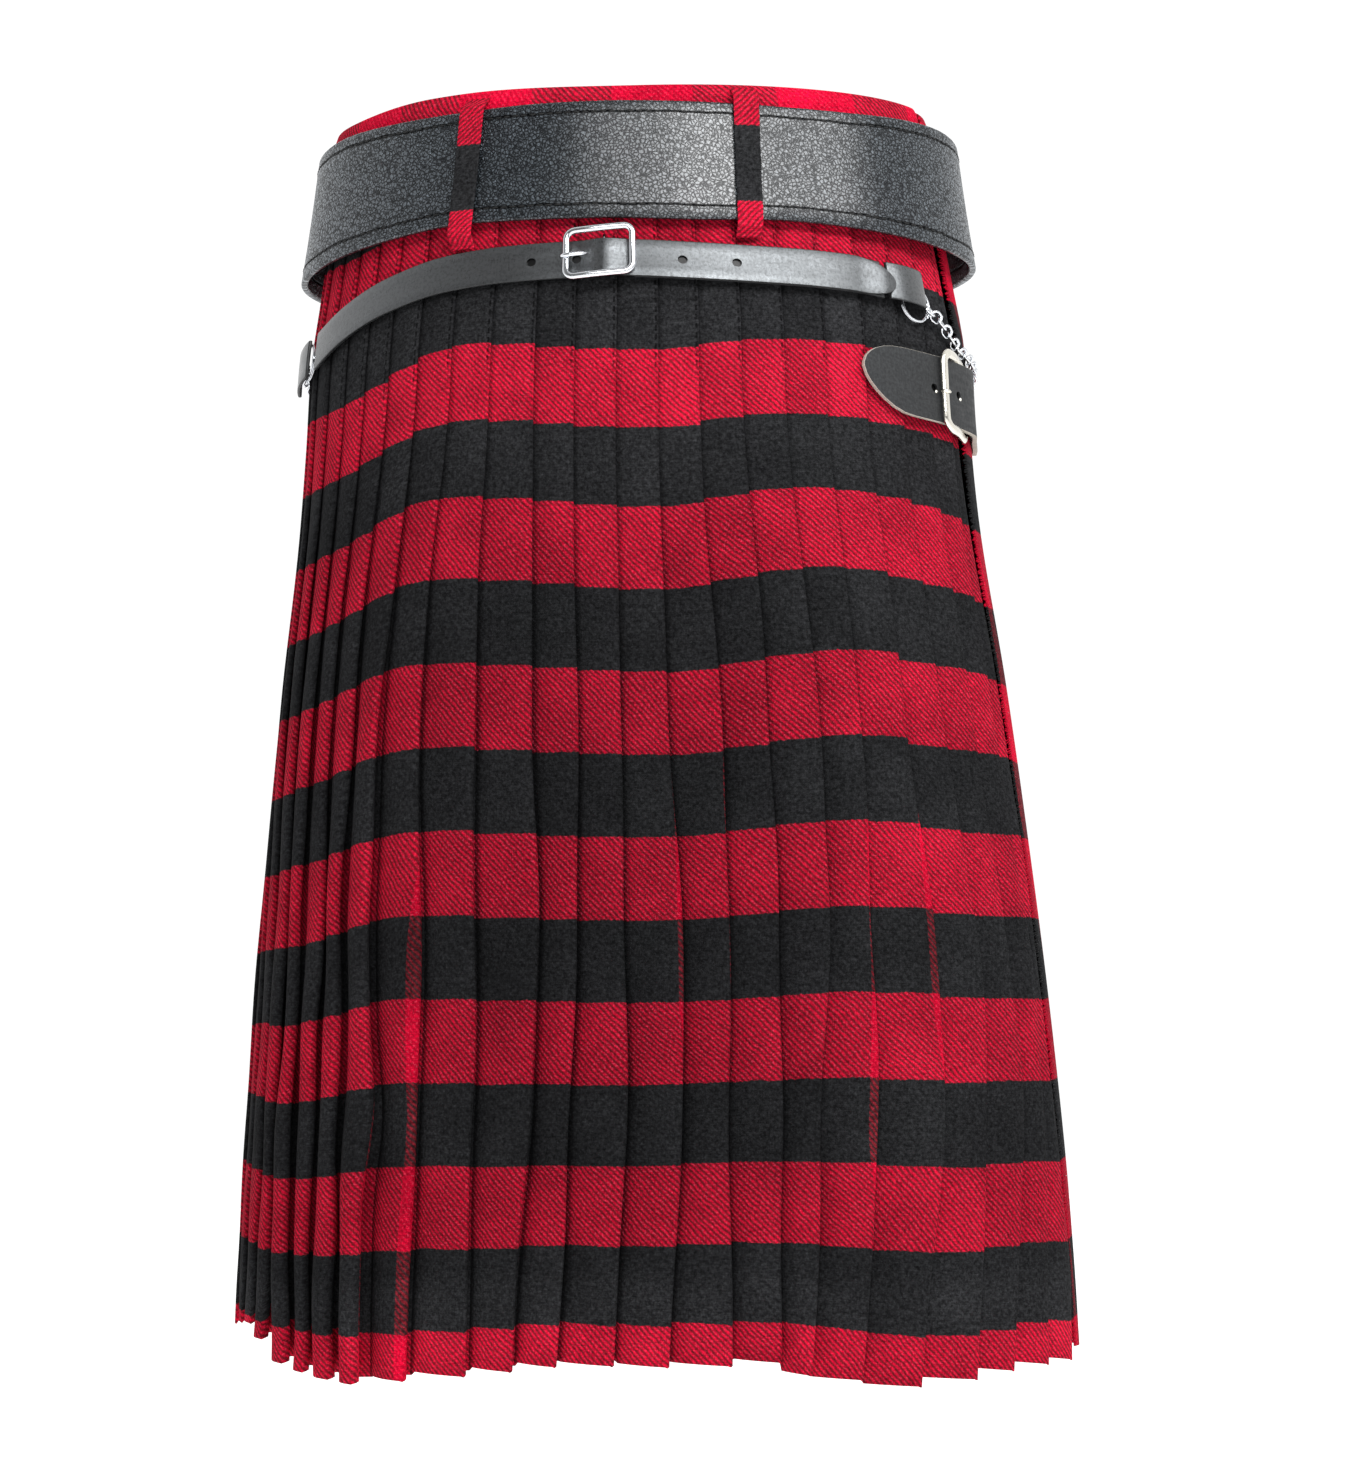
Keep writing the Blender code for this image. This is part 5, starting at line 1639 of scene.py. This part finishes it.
def panel_light(scene, name, power):
    spot, aim, width, height = LIGHTS[name]
    light = bpy.data.lights.new(name, "AREA")
    light.shape, light.size, light.size_y = "RECTANGLE", width, height
    light.energy = power
    lamp = bpy.data.objects.new(name, light)
    lamp.location = spot
    lamp.rotation_euler = (Vector(aim) - Vector(spot)).to_track_quat("-Z", "Y").to_euler()
    lamp.visible_camera = False
    scene.collection.objects.link(lamp)


class KiltStageOperator(bpy.types.Operator):
    """Makes the pale floor, the soft lights and the camera."""
    bl_idname = "kilt.stage"
    bl_label = "Floor, lights and camera"

    def execute(self, context):
        stage, scene = context.scene.kilt_stage, context.scene
        self.floor(scene, stage)
        self.studio(scene, stage)
        panel_light(scene, "key", stage.key_power)
        panel_light(scene, "front", stage.front_power)
        self.camera(scene, stage)
        scene.view_settings.view_transform = "Standard"
        return {"FINISHED"}

    def floor(self, scene, stage):
        bm = bmesh.new()
        bmesh.ops.create_circle(bm, cap_ends=True, segments=64, radius=FLOOR_RADIUS,
                                matrix=Matrix.Translation((0, 0, -stage.floor)))
        floor = bpy.data.objects.new("floor", as_mesh(bm, "floor"))
        scene.collection.objects.link(floor)
        paint = Finish("floor", stage.floor_colour, 0.9, Specular_IOR_Level=0.1,
                       Emission_Color=(1.0, 1.0, 1.0, 1.0), Emission_Strength=stage.floor_glow)
        cloudy = paint.ramp(paint.noise(1.5, 3.0, source="Object"), 0.3, 0.7, 0.9, 1.0)
        paint.shade(Base_Color=paint.blend(cloudy, (0.93, 0.93, 0.93), stage.floor_colour))
        floor.data.materials.append(paint.material)

    def studio(self, scene, stage):
        """Light all round, dim from the front and bright from behind and from the sides."""
        world = bpy.data.worlds.new("studio")
        world.use_nodes = True
        tree = world.node_tree
        sky = tree.nodes["Background"]
        facing = tree.nodes.new("ShaderNodeVectorMath")
        facing.operation = "DOT_PRODUCT"
        facing.inputs[1].default_value = FRONT_OF_ROOM
        tree.links.new(tree.nodes.new("ShaderNodeTexCoord").outputs["Generated"], facing.inputs[0])
        fall = tree.nodes.new("ShaderNodeMapRange")
        fall.interpolation_type = "SMOOTHSTEP"
        for socket, value in (("From Min", -0.2), ("From Max", 0.85), ("To Min", stage.bright),
                              ("To Max", stage.dim)):
            fall.inputs[socket].default_value = value
        tree.links.new(facing.outputs["Value"], fall.inputs["Value"])
        tree.links.new(fall.outputs["Result"], sky.inputs["Strength"])
        sky.inputs["Color"].default_value = (1.0, 1.0, 1.0, 1.0)
        scene.world = world

    def camera(self, scene, stage):
        tilt, yaw = atan(CAMERA_RISE / CAMERA_RUN), atan(CAMERA_SIDE / CAMERA_RUN)
        turn, roll = radians(CAMERA_TURN), radians(CAMERA_ROLL)
        ahead = Vector((-sin(turn) * cos(tilt), cos(turn) * cos(tilt), sin(tilt)))
        level = Vector((cos(turn), sin(turn), 0))
        upright = level.cross(ahead)
        right = level * cos(roll) - upright * sin(roll)
        up = level * sin(roll) + upright * cos(roll)
        ahead, right = ahead * cos(yaw) + right * sin(yaw), right * cos(yaw) - ahead * sin(yaw)
        lens = bpy.data.cameras.new("camera")
        lens.lens, lens.sensor_width, lens.clip_end = stage.lens, 36.0, 200.0
        camera = bpy.data.objects.new("camera", lens)
        scene.collection.objects.link(camera)
        turned = Matrix((right, up, -ahead)).transposed().to_4x4()
        camera.matrix_world = Matrix.Translation(CAMERA_SPOT) @ turned
        scene.camera = camera


# ---------------------------------------------------------------- panel and registering

OPERATORS = (
    KiltWaistbandOperator,
    KiltPleatsOperator,
    KiltApronsOperator,
    KiltFringeOperator,
    KiltBeltOperator,
    KiltBeltLoopsOperator,
    KiltSporranStrapOperator,
    KiltSporranBuckleOperator,
    KiltChainOperator,
    KiltHipStrapOperator,
    KiltStageOperator,
)
GROUPS = (
    ("kilt_cloth", KiltCloth),
    ("kilt_belt", KiltBelt),
    ("kilt_straps", KiltStraps),
    ("kilt_metal", KiltMetal),
    ("kilt_stage", KiltStage),
)


class KiltPanel(bpy.types.Panel):
    """Lists the kilt's sizes and the pieces that can be made."""
    bl_idname = "VIEW3D_PT_kilt"
    bl_label = "Kilt"
    bl_space_type = "VIEW_3D"
    bl_region_type = "UI"
    bl_category = "Kilt"

    def draw(self, context):
        for group, kind in GROUPS:
            box = self.layout.box()
            for prop in kind.__annotations__:
                box.prop(getattr(context.scene, group), prop)
        for operator in OPERATORS:
            self.layout.operator(operator.bl_idname)


def register():
    for group, kind in GROUPS:
        bpy.utils.register_class(kind)
        setattr(bpy.types.Scene, group, PointerProperty(type=kind))
    for kind in OPERATORS + (KiltPanel,):
        bpy.utils.register_class(kind)


def unregister():
    for kind in (KiltPanel,) + OPERATORS[::-1]:
        bpy.utils.unregister_class(kind)
    for group, kind in GROUPS[::-1]:
        delattr(bpy.types.Scene, group)
        bpy.utils.unregister_class(kind)


def main():
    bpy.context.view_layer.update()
    register()
    for operator in OPERATORS:
        group, name = operator.bl_idname.split(".")
        getattr(getattr(bpy.ops, group), name)()


if __name__ == "__main__":
    main()
